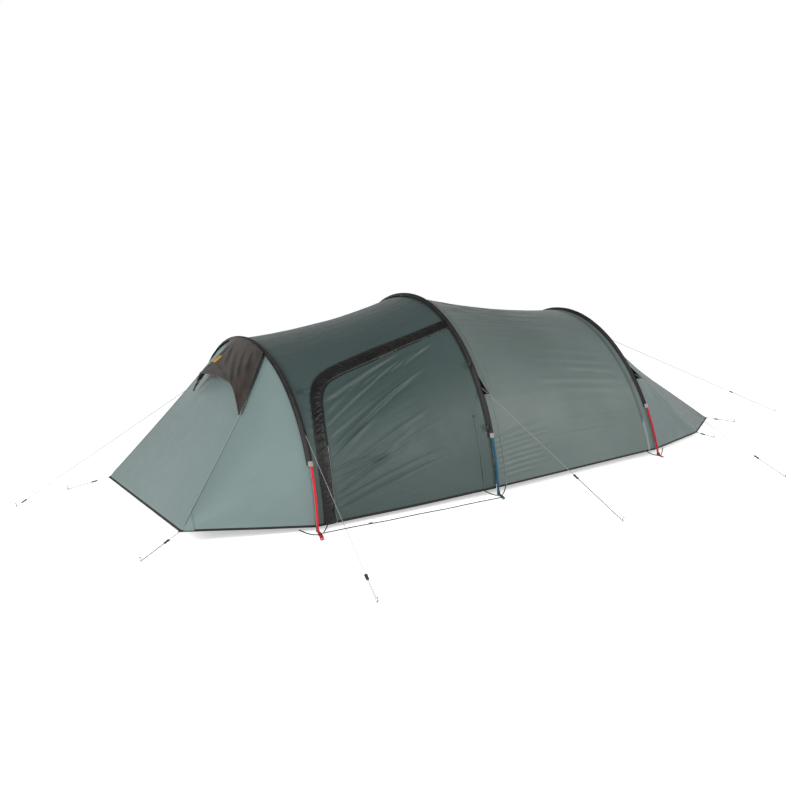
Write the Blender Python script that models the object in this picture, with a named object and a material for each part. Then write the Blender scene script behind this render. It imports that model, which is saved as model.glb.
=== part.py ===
"""Three-hoop tunnel tent, pitched: fly, poles, hood, door, inner tent, guylines and pegs.

Metres, +Z up, the floor is Z = 0. +X runs to the tail (rear), -Y is the door side.
"""
import math

import bmesh
import bpy
import numpy as np

for _o in list(bpy.data.objects):
    bpy.data.objects.remove(_o, do_unlink=True)

# ---- driving sizes -------------------------------------------------------------------
SHIFT = (-0.5404, 0.0)          # puts the box of everything but the cords on the origin
HOOP_N = 2.1                    # hoop curve: superellipse power
HOOPS = (                       # foot x, half width, height, lean of the top (m per m)
    (-1.164, 0.953, 0.950, 0.019),
    (0.000, 0.925, 1.150, -0.027),
    (1.457, 0.763, 0.987, -0.203),
)
HEM_Z = (0.030, 0.045, 0.050)   # hem height beside each hoop
SLEEVE_END_Z = 0.340            # sleeves stop here, the pole below is bare
POLE_R = 0.00475
SLEEVE_HALF_W = 0.017
SLEEVE_HALF_T = 0.0085
FABRIC_INSET = 0.0115           # fly skin below the pole's centre line
FABRIC_T = 0.0025
SEAM_GAP = 0.0012               # between neighbouring panels at a hoop
BAY_SAG = 0.035
FRONT_CORNER = (-1.807, 0.750, 0.078)
REAR_CORNER = (2.143, 0.482, 0.036)
REAR_NOSE = (2.813, 0.0, 0.007)
LOW_SEGS, TOP_SEGS = 4, 18      # hoop samples on each bare leg and over the top
FRONT_SEAM_J, REAR_SEAM_J = 10, 8

# door edge, then the storm flap's outer edge: (share of the bay's length, share of its arc)
DOOR_EDGE = ((.100, 0), (.096, .05), (.095, .10), (.100, .15), (.110, .20), (.126, .235), (.150, .265),
             (.200, .287), (.285, .300), (.420, .311), (.545, .320), (.700, .330), (.850, .337), (1, .342))
FLAP_EDGE = ((.040, 0), (.038, .05), (.037, .10), (.042, .15), (.055, .20), (.072, .237), (.100, .275),
             (.155, .302), (.250, .320), (.400, .3325), (.545, .3415), (.700, .347), (.850, .351), (1, .353))
ROOF_EDGE = ((0, 0), (0, .06), (0, .12), (0, .19), (0, .27), (0, .37), (0, .5),
             (.12, .5), (.28, .5), (.44, .5), (.58, .5), (.72, .5), (.86, .5), (1, .5))
DOOR_BASE = ((.100, 0), (.25, 0), (.40, 0), (.55, 0), (.70, 0), (.85, 0), (1, 0),
             (1, .05), (1, .10), (1, .16), (1, .21), (1, .26), (1, .30), (1, .342))
BAY_S = (0, .12, .28, .44, .58, .72, .86, 1)

# hood: its front edge and its back edge from the near tip round to the far tip; the guy to
# the far side pulls the far end in close to the tail
HOOD_FRONT = ((-1.387, -.532, .585), (-1.365, -.400, .716), (-1.370, -.280, .751), (-1.383, -.140, .767),
              (-1.403, 0, .765), (-1.392, .060, .752), (-1.385, .115, .728), (-1.383, .165, .690),
              (-1.390, .215, .640))
HOOD_BACK_Y = (-.370, -.285, -.190, -.095, 0, .030, .060, .090, .115)

INNER = (                       # inner tent rings: x, half width, height
    (0.070, 0.720, 1.040), (0.550, 0.700, 0.990), (1.050, 0.660, 0.895),
    (1.400, 0.590, 0.790), (1.850, 0.420, 0.400), (1.960, 0.360, 0.110),
)
INNER_HEM_Z = 0.0045
INNER_DOOR = (0.420, 0.160, 0.880)   # half width, sill height, top height
FLOOR_T = 0.003

# guy anchors on the hoops: hoop, share of the half arc, near peg, far peg, runner share
SIDE_GUYS = (
    ("front", 0, 0.1622, (-1.397, -1.990), (-1.000, 1.990), 0.885),
    ("middle", 1, 0.1708, (0.154, -1.756), (0.154, 1.756), 0.700),
    ("rear", 2, 0.1820, (1.542, -1.673), (1.542, 1.673), 0.830),
)
FRONT_GUY = ((-1.262, 0.0, 0.805), (-2.375, 0.633), 0.965)
REAR_GUY = ((1.560, 0.0, 0.806), (3.454, -0.165), 0.740)
CORNER_GUYS = (
    ("corner_front_near", (-1.807, -0.750, 0.078), (-2.036, -0.880)),
    ("corner_front_far", (-1.807, 0.750, 0.078), (-2.036, 0.880)),
    ("corner_rear_near", (2.143, -0.482, 0.036), (2.190, -0.601)),
    ("corner_rear_far", (2.143, 0.482, 0.036), (2.190, 0.601)),
    ("tail_nose", (2.813, 0.0, 0.007), (2.811, -0.273)),
)
CORD_R = 0.0015
CORD_END_Z = 0.0100
PEG_R = 0.0030


# ---- curves --------------------------------------------------------------------------
def hoop_point(k, t, inset=0.0):
    x, a, h, lean = HOOPS[k]
    c, s = math.cos(math.pi * t), math.sin(math.pi * t)
    y = -(a - inset) * math.copysign(abs(c) ** (2 / HOOP_N), c)
    z = (h - inset) * abs(s) ** (2 / HOOP_N)
    return np.array([x + lean * z, y, z])


def hoop_t(k, z, inset=0.0):
    return math.asin((z / (HOOPS[k][2] - inset)) ** (HOOP_N / 2)) / math.pi


def arc_t(k, tau):
    """Arc share tau (0 near hem, 1 far hem) to the hoop's own parameter."""
    low, sleeve = hoop_t(k, HEM_Z[k]), hoop_t(k, SLEEVE_END_Z)
    split = LOW_SEGS / (2 * LOW_SEGS + TOP_SEGS)
    m = min(tau, 1 - tau)
    if m < split:
        t = low + (sleeve - low) * m / split
    else:
        t = sleeve + (0.5 - sleeve) * (m - split) / (0.5 - split)
    return 1 - t if tau > 0.5 else t


def bay_point(k, s, tau, out=0.0):
    """A point on the skin between hoops k and k + 1, moved out of the tent by out."""
    p = (1 - s) * hoop_point(k, arc_t(k, tau), FABRIC_INSET)
    p = p + s * hoop_point(k + 1, arc_t(k + 1, tau), FABRIC_INSET)
    inward = np.array([0.0, -p[1], 0.3 - p[2]])
    inward /= np.linalg.norm(inward)
    depth = BAY_SAG * 4 * s * (1 - s) * math.sin(math.pi * tau)
    return p + inward * (depth - out)


TAUS = [i / (2 * LOW_SEGS + TOP_SEGS) for i in range(2 * LOW_SEGS + TOP_SEGS + 1)]


# ---- mesh helpers --------------------------------------------------------------------
def grid_mesh(rows):
    """Rows of points to welded vertices and faces; repeated points give triangles."""
    verts, index, faces = [], {}, []

    def vid(p):
        key = tuple(round(float(c), 6) for c in p)
        if key not in index:
            index[key] = len(verts)
            verts.append(np.array(key))
        return index[key]

    ids = [[vid(p) for p in row] for row in rows]
    for a, b in zip(ids[:-1], ids[1:]):
        for j in range(len(a) - 1):
            ring = []
            for v in (a[j], a[j + 1], b[j + 1], b[j]):
                if v not in ring:
                    ring.append(v)
            if len(ring) > 2:
                faces.append(ring)
    return verts, faces


def join_meshes(*parts):
    """Several welded grids to one, welding the points they share."""
    verts, index, faces = [], {}, []
    for pv, pf in parts:
        ids = []
        for p in pv:
            key = tuple(round(float(c), 5) for c in p)
            if key not in index:
                index[key] = len(verts)
                verts.append(p)
            ids.append(index[key])
        for f in pf:
            ring = []
            for v in (ids[i] for i in f):
                if v not in ring:
                    ring.append(v)
            if len(ring) > 2:
                faces.append(ring)
    return verts, faces


def thicken(verts, faces, thickness, centre):
    """A skin to a closed body; the second side lies towards centre(vertex)."""
    faces = [[f[0], f[i], f[i + 1]] for f in faces for i in range(1, len(f) - 1)]
    normal = [np.zeros(3) for _ in verts]
    for f in faces:
        p = [verts[i] for i in f]
        n = np.cross(p[1] - p[0], p[2] - p[0])
        for i in f:
            normal[i] = normal[i] + n
    inner = []
    for v, n in zip(verts, normal):
        n = n / (np.linalg.norm(n) or 1.0)
        if np.dot(n, centre(v) - v) < 0:
            n = -n
        inner.append(v + n * thickness)
    count = len(verts)
    edge_use = {}
    for f in faces:
        for i in range(len(f)):
            a, b = f[i], f[(i + 1) % len(f)]
            edge_use.setdefault(frozenset((a, b)), []).append((a, b))
    out = [list(f) for f in faces] + [[i + count for i in reversed(f)] for f in faces]
    for pair in edge_use.values():
        if len(pair) == 1:
            a, b = pair[0]
            out.append([b, a, a + count, b + count])
    return list(verts) + inner, out


def make(name, verts, faces, colour, rough=0.8, metal=0.0):
    shift = np.array([SHIFT[0], SHIFT[1], 0.0])
    mesh = bpy.data.meshes.new(name)
    mesh.from_pydata([tuple(np.asarray(v) + shift) for v in verts], [], [tuple(f) for f in faces])
    bm = bmesh.new()
    bm.from_mesh(mesh)
    bmesh.ops.recalc_face_normals(bm, faces=bm.faces[:])
    bm.to_mesh(mesh)
    bm.free()
    mat = bpy.data.materials.new(name)
    mat.use_nodes = True
    shader = mat.node_tree.nodes["Principled BSDF"]
    shader.inputs["Base Color"].default_value = (*colour, 1.0)
    shader.inputs["Roughness"].default_value = rough
    shader.inputs["Metallic"].default_value = metal
    mat.diffuse_color = (*colour, 1.0)
    mesh.materials.append(mat)
    obj = bpy.data.objects.new(name, mesh)
    bpy.context.collection.objects.link(obj)
    return obj


def tube(path, radius, sides, flat_ends=True, turn=0.5):
    """A closed round bar along a path of points."""
    path = [np.asarray(p, float) for p in path]
    verts, faces = [], []
    side = None
    for i, p in enumerate(path):
        a, b = path[max(i - 1, 0)], path[min(i + 1, len(path) - 1)]
        d = (b - a) / np.linalg.norm(b - a)
        if side is None:
            side = np.array([1.0, 0, 0]) if abs(d[0]) < 0.8 else np.array([0, 1.0, 0])
        side = side - d * np.dot(side, d)
        side /= np.linalg.norm(side)
        up = np.cross(d, side)
        if flat_ends and i in (0, len(path) - 1) and abs(d[2]) > 0.6:
            side, up = np.array([1.0, 0, 0]), np.array([0, 1.0 if d[2] > 0 else -1.0, 0])
        for k in range(sides):
            w = 2 * math.pi * (k + turn) / sides
            verts.append(p + radius * (math.cos(w) * side + math.sin(w) * up))
    for i in range(len(path) - 1):
        for k in range(sides):
            a, b = i * sides + k, i * sides + (k + 1) % sides
            faces.append([a, b, b + sides, a + sides])
    faces.append(list(range(sides))[::-1])
    faces.append([(len(path) - 1) * sides + k for k in range(sides)])
    return verts, faces


def box(lo, hi):
    (x0, y0, z0), (x1, y1, z1) = lo, hi
    v = [(x0, y0, z0), (x1, y0, z0), (x1, y1, z0), (x0, y1, z0),
         (x0, y0, z1), (x1, y0, z1), (x1, y1, z1), (x0, y1, z1)]
    f = [[0, 3, 2, 1], [4, 5, 6, 7], [0, 1, 5, 4], [1, 2, 6, 5], [2, 3, 7, 6], [3, 0, 4, 7]]
    return [np.array(p) for p in v], f


def tent_axis(v):
    return np.array([v[0], 0.0, 0.25])


# ---- poles and sleeves ---------------------------------------------------------------
def build_pole(name, k, colour):
    top = [hoop_point(k, arc_t(k, t)) for t in TAUS]
    foot = hoop_point(k, hoop_t(k, 0.006))
    far = hoop_point(k, 1 - hoop_t(k, 0.006))
    verts, faces = tube([foot] + top + [far], POLE_R, 8)
    make(name, verts, faces, colour, 0.35, 0.9)


def build_sleeve(name, k):
    """A flat fabric tunnel over the pole: lens outside, round bore inside."""
    taus = TAUS[LOW_SEGS:-LOW_SEGS]
    outer_shape = ((1, 0), (.62, .72), (0, 1), (-.62, .72), (-1, 0), (-.62, -.72), (0, -1), (.62, -.72))
    verts, faces = [], []
    for t in taus:
        c = hoop_point(k, arc_t(k, t))
        out = hoop_point(k, arc_t(k, t), -0.01) - c
        out[0] = 0.0
        out /= np.linalg.norm(out)
        for sx, sr in outer_shape:
            verts.append(c + np.array([1.0, 0, 0]) * sx * SLEEVE_HALF_W + out * sr * SLEEVE_HALF_T)
        for i in range(8):
            w = 2 * math.pi * i / 8
            verts.append(c + (np.array([1.0, 0, 0]) * math.cos(w) + out * math.sin(w)) * (POLE_R + 0.0018))
    n = len(taus)
    for i in range(n - 1):
        for j in range(8):
            a, b = 16 * i + j, 16 * i + (j + 1) % 8
            faces.append([a, b, b + 16, a + 16])
            faces.append([b + 8, a + 8, a + 24, b + 24])
    for base in (0, 16 * (n - 1)):
        for j in range(8):
            a, b = base + j, base + (j + 1) % 8
            faces.append([a, b, b + 8, a + 8])
    make(name, verts, faces, (0.010, 0.010, 0.009), 0.7)


# ---- fly -----------------------------------------------------------------------------
def build_tail(name, k, side, corner, nose, seam_j, colour):
    """Skin from an end hoop to the ground: cones at the corners, a panel between them."""
    arc = [hoop_point(k, arc_t(k, t), FABRIC_INSET) + np.array([side * SEAM_GAP, 0, 0]) for t in TAUS]
    last = len(arc) - 1
    near = np.array([corner[0], -corner[1], corner[2]])
    far = np.array(corner)
    base = []
    for j in range(last + 1):
        m = min(j, last - j)
        end = near if j <= last / 2 else far
        q = 0.0 if m <= seam_j else (m - seam_j) / (last / 2 - seam_j)
        middle = np.array(nose) if nose else (near + far) / 2
        base.append(end + (middle - end) * q)
    rows = [[a + (b - a) * q for a, b in zip(arc, base)] for q in (0, 0.33, 0.67, 1)]
    verts, faces = grid_mesh(rows)
    inside = np.array([HOOPS[k][0] - side * 0.3, 0.0, 0.2])
    make(name, *thicken(verts, faces, FABRIC_T, lambda v: inside), colour)


def lerp_st(edge_a, edge_b, q):
    return [(a[0] + (b[0] - a[0]) * q, a[1] + (b[1] - a[1]) * q) for a, b in zip(edge_a, edge_b)]


def inside_gap(st, gap=0.0012):
    return [(min(max(s, gap), 1 - gap), t) for s, t in st]


def build_front_bay():
    near = [[bay_point(0, s, t) for s, t in inside_gap(lerp_st(ROOF_EDGE, DOOR_EDGE, q))]
            for q in (0, 0.3, 0.55, 0.8, 1)]
    far_taus = [t for t in TAUS if t >= 0.5]
    far = [[bay_point(0, min(max(s, 0.0012), 0.9988), t) for s in BAY_S] for t in far_taus]
    verts, faces = join_meshes(grid_mesh(near), grid_mesh(far))
    make("fly_front_bay", *thicken(verts, faces, FABRIC_T, tent_axis), (0.063, 0.093, 0.091))


def build_rear_bay():
    rows = [[bay_point(1, min(max(s, 0.0012), 0.9988), t) for s in BAY_S] for t in TAUS]
    verts, faces = grid_mesh(rows)
    make("fly_rear_bay", *thicken(verts, faces, FABRIC_T, tent_axis), (0.13, 0.17, 0.16))


def build_door():
    edge = [(min(s + 0.0040, 0.9965), max(t - 0.0016, 0.0)) for s, t in DOOR_EDGE]
    base = [(min(s + 0.0040, 0.9965), max(t - 0.0016, 0.0)) for s, t in DOOR_BASE]
    rows = [[bay_point(0, s, t) for s, t in lerp_st(edge, base, q)] for q in (0, .2, .4, .6, .8, 1)]
    verts, faces = grid_mesh(rows)
    make("outer_door", *thicken(verts, faces, FABRIC_T, tent_axis), (0.077, 0.109, 0.109))


def build_flap():
    inner = inside_gap(DOOR_EDGE, 0.0175)
    outer = inside_gap(FLAP_EDGE, 0.0175)
    rows = [[bay_point(0, s, t, 0.0065) for s, t in lerp_st(outer, inner, q)] for q in (0, .5, 1)]
    verts, faces = grid_mesh(rows)
    make("storm_flap", *thicken(verts, faces, 0.0030, tent_axis), (0.019, 0.017, 0.016))


def build_door_slider():
    """Two-part zip slider at the bottom of the zip, with its pull."""
    p = bay_point(0, 0.091, 0.030, 0.0160)
    verts, faces = box(p - np.array([.006, .004, .016]), p + np.array([.006, .004, .016]))
    make("door_zip_slider", verts, faces, (0.03, 0.03, 0.03), 0.4, 0.5)


# ---- hood ----------------------------------------------------------------------------
def build_hood():
    k = 0
    x, a, h, lean = HOOPS[k]
    back = []
    for y in HOOD_BACK_Y:
        z = (h - 0.002) * (1 - (abs(y) / (a - 0.002)) ** HOOP_N) ** (1 / HOOP_N)
        back.append(np.array([x + lean * z - SLEEVE_HALF_W - 0.002, y, z]))
    front = [np.array(p) for p in HOOD_FRONT]
    rows = []
    for q in (0, 0.35, 0.7, 1):
        lift = np.array([0, 0, 0.012 * 4 * q * (1 - q)])
        rows.append([b + (f - b) * q + lift for b, f in zip(back, front)])
    verts, faces = grid_mesh(rows)
    make("vent_hood", *thicken(verts, faces, 0.003, tent_axis), (0.09, 0.08, 0.075))


# ---- inner tent ----------------------------------------------------------------------
def ring_points(x, half, height, low=INNER_HEM_Z, count=21):
    """An arch from hem to hem, evenly spaced by angle."""
    start = math.asin((low / height) ** (HOOP_N / 2))
    pts = []
    for i in range(count):
        w = start + (math.pi - 2 * start) * i / (count - 1)
        c, s = math.cos(w), math.sin(w)
        pts.append(np.array([x, -half * math.copysign(abs(c) ** (2 / HOOP_N), c), height * s ** (2 / HOOP_N)]))
    return pts


def door_outline(gap=0.0, count=21):
    half, sill, top = INNER_DOOR
    half, sill, top = half - gap, sill + gap, top - gap
    pts = []
    for i in range(count):
        w = math.pi * i / (count - 1)
        c, s = math.cos(w), math.sin(w)
        y = -half * math.copysign(abs(c) ** (2 / 3.2), c)
        z = sill + (top - sill) * s ** (2 / 3.2)
        pts.append(np.array([0.0, y, z]))
    return pts


def build_inner():
    rings = [ring_points(*r) for r in INNER]
    walls = grid_mesh(rings)
    x = INNER[0][0]
    hole = [p + np.array([x, 0, 0]) for p in door_outline()]
    base = 5
    arch = rings[0]
    arch_loop = arch + [arch[-1] + (arch[0] - arch[-1]) * i / (base + 1) for i in range(1, base + 1)] + [arch[0]]
    hole_loop = hole + [hole[-1] + (hole[0] - hole[-1]) * i / (base + 1) for i in range(1, base + 1)] + [hole[0]]
    front = grid_mesh([arch_loop, hole_loop])
    verts, faces = join_meshes(walls, front)
    make("inner_tent", *thicken(verts, faces, 0.002, lambda v: np.array([1.0, 0, 0.3])), (0.42, 0.40, 0.34))


def build_inner_door():
    x = INNER[0][0]
    pts = door_outline(0.004)
    verts = [p + np.array([x, 0, 0]) for p in pts] + [p + np.array([x + 0.002, 0, 0]) for p in pts]
    n = len(pts)
    faces = [list(range(n)), [i + n for i in reversed(range(n))]]
    faces += [[i, (i + 1) % n, (i + 1) % n + n, i + n] for i in range(n)]
    make("inner_door", verts, faces, (0.35, 0.34, 0.30))
    lo = np.array([x - 0.0105, INNER_DOOR[0] + 0.002, 0.300])
    verts, faces = box(lo, lo + np.array([0.008, 0.012, 0.030]))
    make("inner_zip_slider", verts, faces, (0.05, 0.05, 0.05), 0.4, 0.5)


def build_groundsheet():
    """Flat floor sheet under the inner tent."""
    side = [(r[0], r[1] - 0.012) for r in INNER]
    side[0] = (side[0][0] + 0.010, side[0][1])
    side[-1] = (side[-1][0] - 0.010, side[-1][1])
    outline = [(x, -w) for x, w in side] + [(x, w) for x, w in reversed(side)]
    n = len(outline)
    verts = [np.array([*p, 0.0]) for p in outline] + [np.array([*p, FLOOR_T]) for p in outline]
    faces = [list(range(n)), [i + n for i in reversed(range(n))]]
    faces += [[i, (i + 1) % n, (i + 1) % n + n, i + n] for i in range(n)]
    make("groundsheet", verts, faces, (0.06, 0.07, 0.07), 0.6)


# ---- ground level --------------------------------------------------------------------
def ribbon(path, half_w, thick):
    """A flat strap in the YZ plane, path given along its lower or inner face."""
    left, right = [], []
    for i, (x, y, z) in enumerate(path):
        a, b = path[max(i - 1, 0)], path[min(i + 1, len(path) - 1)]
        d = np.array([b[1] - a[1], b[2] - a[2]])
        d /= np.linalg.norm(d)
        n = np.array([-d[1], d[0]])
        left.append((y, z))
        right.append((y + n[0] * thick, z + n[1] * thick))
    verts = [np.array([path[0][0] + sx * half_w, y, z]) for sx in (-1, 1) for y, z in left + right[::-1]]
    n = 2 * len(path)
    faces = [list(range(n)), [i + n for i in reversed(range(n))]]
    faces += [[i, (i + 1) % n, (i + 1) % n + n, i + n] for i in range(n)]
    return verts, faces


def build_foot_straps():
    """Webbing from beside each pole foot down and out along the ground to its peg point."""
    for k, name, colour, reach in ((0, "front", (.78, .012, .021), .140), (1, "middle", (.008, .10, .13), .105),
                                   (2, "rear", (.60, .012, .025), .065)):
        a = HOOPS[k][1]
        x = HOOPS[k][0]
        for sign, where in ((-1, "near"), (1, "far")):
            top, bend, end = a + 0.0065, a + 0.0120, a + reach
            path = [(x, sign * top, 0.040), (x, sign * bend, 0.012), (x, sign * (bend + .006), 0.0),
                    (x, sign * end, 0.0)]
            path = path if sign > 0 else path
            thick = 0.002 if sign > 0 else -0.002
            verts, faces = ribbon(path, 0.010, thick)
            make(f"foot_strap_{name}_{where}", verts, faces, colour, 0.8)


def build_porch_straps():
    for sign, where in ((-1, "near"), (1, "far")):
        y = sign * 0.990
        a = [HOOPS[0][0] + 0.012, y - 0.005, 0.0022]
        b = [HOOPS[1][0] - 0.012, y + 0.005, 0.0042]
        verts, faces = box(a, b)
        make(f"porch_strap_{where}", verts, faces, (0.02, 0.018, 0.016))


def build_cord(name, start, peg):
    start = np.array(start, float)
    end = np.array([peg[0], peg[1], CORD_END_Z])
    verts, faces = tube([start, end], CORD_R, 4, flat_ends=False)
    make(name, verts, faces, (0.55, 0.52, 0.48))
    return start, end


def build_runner(name, start, end, share):
    """A line runner: a short sleeve round the line, wider across than deep."""
    c = start + (end - start) * share
    d = (end - start) / np.linalg.norm(end - start)
    side = np.cross(d, [0, 0, 1.0])
    side /= np.linalg.norm(side)
    up = np.cross(side, d)
    verts, faces = [], []
    for q in (-0.016, 0.016):
        for wide, deep in ((0.0085, 0.0050), (0.0030, 0.0030)):
            for i in range(8):
                w = 2 * math.pi * (i + 0.5) / 8
                verts.append(c + d * q + side * wide * math.cos(w) + up * deep * math.sin(w))
    for i in range(8):
        j = (i + 1) % 8
        faces += [[i, j, j + 16, i + 16], [j + 8, i + 8, i + 24, j + 24], [i, j, j + 8, i + 8],
                  [i + 16, j + 16, j + 24, i + 24]]
    make(name, verts, faces, (0.02, 0.02, 0.02), 0.5)


def build_peg(name, start, end):
    """The part of a peg that shows above the ground: a short shank bent over into a hook."""
    out = end - start
    out[2] = 0
    out /= np.linalg.norm(out)
    foot = np.array([end[0], end[1], 0.0005]) + out * 0.0052
    tip = foot + np.array([0, 0, 0.028])
    path = [foot, foot + np.array([0, 0, 0.020]), tip + out * 0.004, tip + out * 0.014 - np.array([0, 0, .003])]
    verts, faces = tube(path, PEG_R, 6)
    make(name, verts, faces, (0.55, 0.56, 0.58), 0.35, 1.0)


def build_guys():
    for name, k, t, near, far, share in SIDE_GUYS:
        for where, tt, peg in (("near", t, near), ("far", 1 - t, far)):
            on = hoop_point(k, tt)
            out = on - np.array([on[0], 0, 0.25])
            start = on + out / np.linalg.norm(out) * 0.014
            a, b = build_cord(f"guy_{name}_{where}", start, peg)
            build_runner(f"runner_{name}_{where}", a, b, share)
            build_peg(f"peg_{name}_{where}", a.copy(), b)
    for name, guy in (("hood", FRONT_GUY), ("tail", REAR_GUY)):
        start, peg, share = guy
        a, b = build_cord(f"guy_{name}", start, peg)
        build_runner(f"runner_{name}", a, b, share)
        build_peg(f"peg_{name}", a.copy(), b)
    for name, corner, peg in CORNER_GUYS:
        corner = np.array(corner)
        out = np.array([peg[0], peg[1], CORD_END_Z]) - corner
        build_cord(f"guy_{name}", corner + out / np.linalg.norm(out) * 0.008, peg)


# ---- build ---------------------------------------------------------------------------
build_pole("pole_front", 0, (0.78, 0.012, 0.021))
build_pole("pole_middle", 1, (0.008, 0.066, 0.09))
build_pole("pole_rear", 2, (0.60, 0.012, 0.025))
build_sleeve("sleeve_front", 0)
build_sleeve("sleeve_middle", 1)
build_sleeve("sleeve_rear", 2)
build_tail("fly_front_tail", 0, -1, FRONT_CORNER, None, FRONT_SEAM_J, (0.25, 0.31, 0.30))
build_front_bay()
build_rear_bay()
build_tail("fly_rear_tail", 2, 1, REAR_CORNER, REAR_NOSE, REAR_SEAM_J, (0.14, 0.18, 0.17))
build_door()
build_flap()
build_door_slider()
build_hood()
build_inner()
build_inner_door()
build_groundsheet()
build_foot_straps()
build_porch_straps()
build_guys()
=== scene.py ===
import math

import bmesh
import bpy
from mathutils import Matrix, Vector, noise


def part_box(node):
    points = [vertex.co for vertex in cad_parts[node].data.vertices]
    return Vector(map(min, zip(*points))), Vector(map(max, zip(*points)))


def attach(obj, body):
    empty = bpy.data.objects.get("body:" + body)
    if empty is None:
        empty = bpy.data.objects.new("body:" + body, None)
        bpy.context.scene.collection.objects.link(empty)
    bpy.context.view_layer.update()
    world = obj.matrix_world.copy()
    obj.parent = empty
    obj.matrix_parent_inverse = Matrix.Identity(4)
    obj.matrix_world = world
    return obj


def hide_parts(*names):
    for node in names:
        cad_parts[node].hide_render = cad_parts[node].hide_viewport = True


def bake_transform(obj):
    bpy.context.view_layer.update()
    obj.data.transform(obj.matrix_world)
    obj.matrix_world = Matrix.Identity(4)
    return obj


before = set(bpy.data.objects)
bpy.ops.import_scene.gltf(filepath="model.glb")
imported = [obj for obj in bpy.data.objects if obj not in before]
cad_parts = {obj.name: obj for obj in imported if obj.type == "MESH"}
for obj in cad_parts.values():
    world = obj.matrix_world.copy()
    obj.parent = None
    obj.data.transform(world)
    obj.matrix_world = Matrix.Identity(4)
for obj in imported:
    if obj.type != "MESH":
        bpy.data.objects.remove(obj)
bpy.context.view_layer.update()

# ---- Camera, floor and light ----------------------------------------------------------
# The tent stands on a plain white floor in a white studio. Three soft lamps light the
# porch end, the sleeping bay and the door, and the ceiling stays dim.
CAMERA_AT = Vector((-3.5544, -4.998, 1.308))
YAW, PITCH, ROLL = math.radians(30.32), math.radians(8.28), math.radians(-2.24)
LENS, SENSOR = 40.38, 36.0

ahead = Vector((math.sin(YAW) * math.cos(PITCH), math.cos(YAW) * math.cos(PITCH), -math.sin(PITCH)))
level = ahead.cross(Vector((0, 0, 1))).normalized()
lift = level.cross(ahead)
right = level * math.cos(ROLL) + lift * math.sin(ROLL)
upward = lift * math.cos(ROLL) - level * math.sin(ROLL)
lens = bpy.data.cameras.new("studio_camera")
lens.lens, lens.sensor_width = LENS, SENSOR
camera = bpy.data.objects.new("studio_camera", lens)
camera.matrix_world = Matrix.Translation(CAMERA_AT) @ Matrix((right, upward, -ahead)).transposed().to_4x4()
bpy.context.scene.collection.objects.link(camera)
bpy.context.scene.camera = camera
bpy.context.scene.view_settings.view_transform = "Standard"


def linear(hex_colour):
    """An sRGB hex colour as linear red, green, blue, alpha."""
    parts = [int(hex_colour[i:i + 2], 16) / 255 for i in (1, 3, 5)]
    return (*[p / 12.92 if p <= 0.04045 else ((p + 0.055) / 1.055) ** 2.4 for p in parts], 1.0)


def add_node(tree, kind, inputs=None, **settings):
    """One shader node with its settings; an input is a value or another node's output."""
    node = tree.nodes.new("ShaderNode" + kind)
    for key, value in settings.items():
        setattr(node, key, value)
    for socket, value in (inputs or {}).items():
        if isinstance(value, bpy.types.NodeSocket):
            tree.links.new(value, node.inputs[socket])
        else:
            node.inputs[socket].default_value = value
    return node


def new_material(name, **finish):
    """An empty material and its shader, with the finish set on the shader itself."""
    material = bpy.data.materials.new(name)
    material.use_nodes = True
    shader = material.node_tree.nodes["Principled BSDF"]
    for socket, value in finish.items():
        shader.inputs[socket.replace("_", " ")].default_value = value
    return material, material.node_tree, shader


def finished_object(name, bm, material, smooth=True):
    """A finished mesh becomes an object at the origin."""
    mesh = bpy.data.meshes.new(name)
    bm.to_mesh(mesh)
    bm.free()
    mesh.materials.append(material)
    mesh.shade_smooth() if smooth else mesh.shade_flat()
    obj = bpy.data.objects.new(name, mesh)
    bpy.context.scene.collection.objects.link(obj)
    return obj


# Studio floor: matt white paint, lit a little from below so that it stays pale.
material, tree, shader = new_material("matt_white_floor_paint", Roughness=0.9, Emission_Strength=0.50)
grain = add_node(tree, "TexNoise", {"Vector": add_node(tree, "TexCoord").outputs["Object"], "Scale": 0.4})
tint = add_node(tree, "ValToRGB", {"Fac": grain.outputs["Fac"]})
tint.color_ramp.elements[0].color = linear("#F4F4F3")
tint.color_ramp.elements[1].color = linear("#F8F8F8")
tree.links.new(tint.outputs["Color"], shader.inputs["Base Color"])
tree.links.new(tint.outputs["Color"], shader.inputs["Emission Color"])
bm = bmesh.new()
bmesh.ops.create_grid(bm, x_segments=2, y_segments=2, size=60)
bmesh.ops.translate(bm, verts=bm.verts, vec=(0, 0, -0.0005))
finished_object("studio_floor", bm, material)

world = bpy.data.worlds.new("studio_world")
world.use_nodes = True
sky = world.node_tree
height = add_node(sky, "SeparateXYZ", {"Vector": add_node(sky, "TexCoord").outputs["Generated"]})
dim = add_node(sky, "ValToRGB", {"Fac": height.outputs["Z"]})
dim.color_ramp.elements[0].position, dim.color_ramp.elements[0].color = 0.35, (1, 1, 1, 1)
dim.color_ramp.elements[1].position, dim.color_ramp.elements[1].color = 0.80, (0.34, 0.35, 0.36, 1)
sky.links.new(dim.outputs["Color"], sky.nodes["Background"].inputs["Color"])
sky.nodes["Background"].inputs["Strength"].default_value = 1.0
bpy.context.scene.world = world

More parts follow.
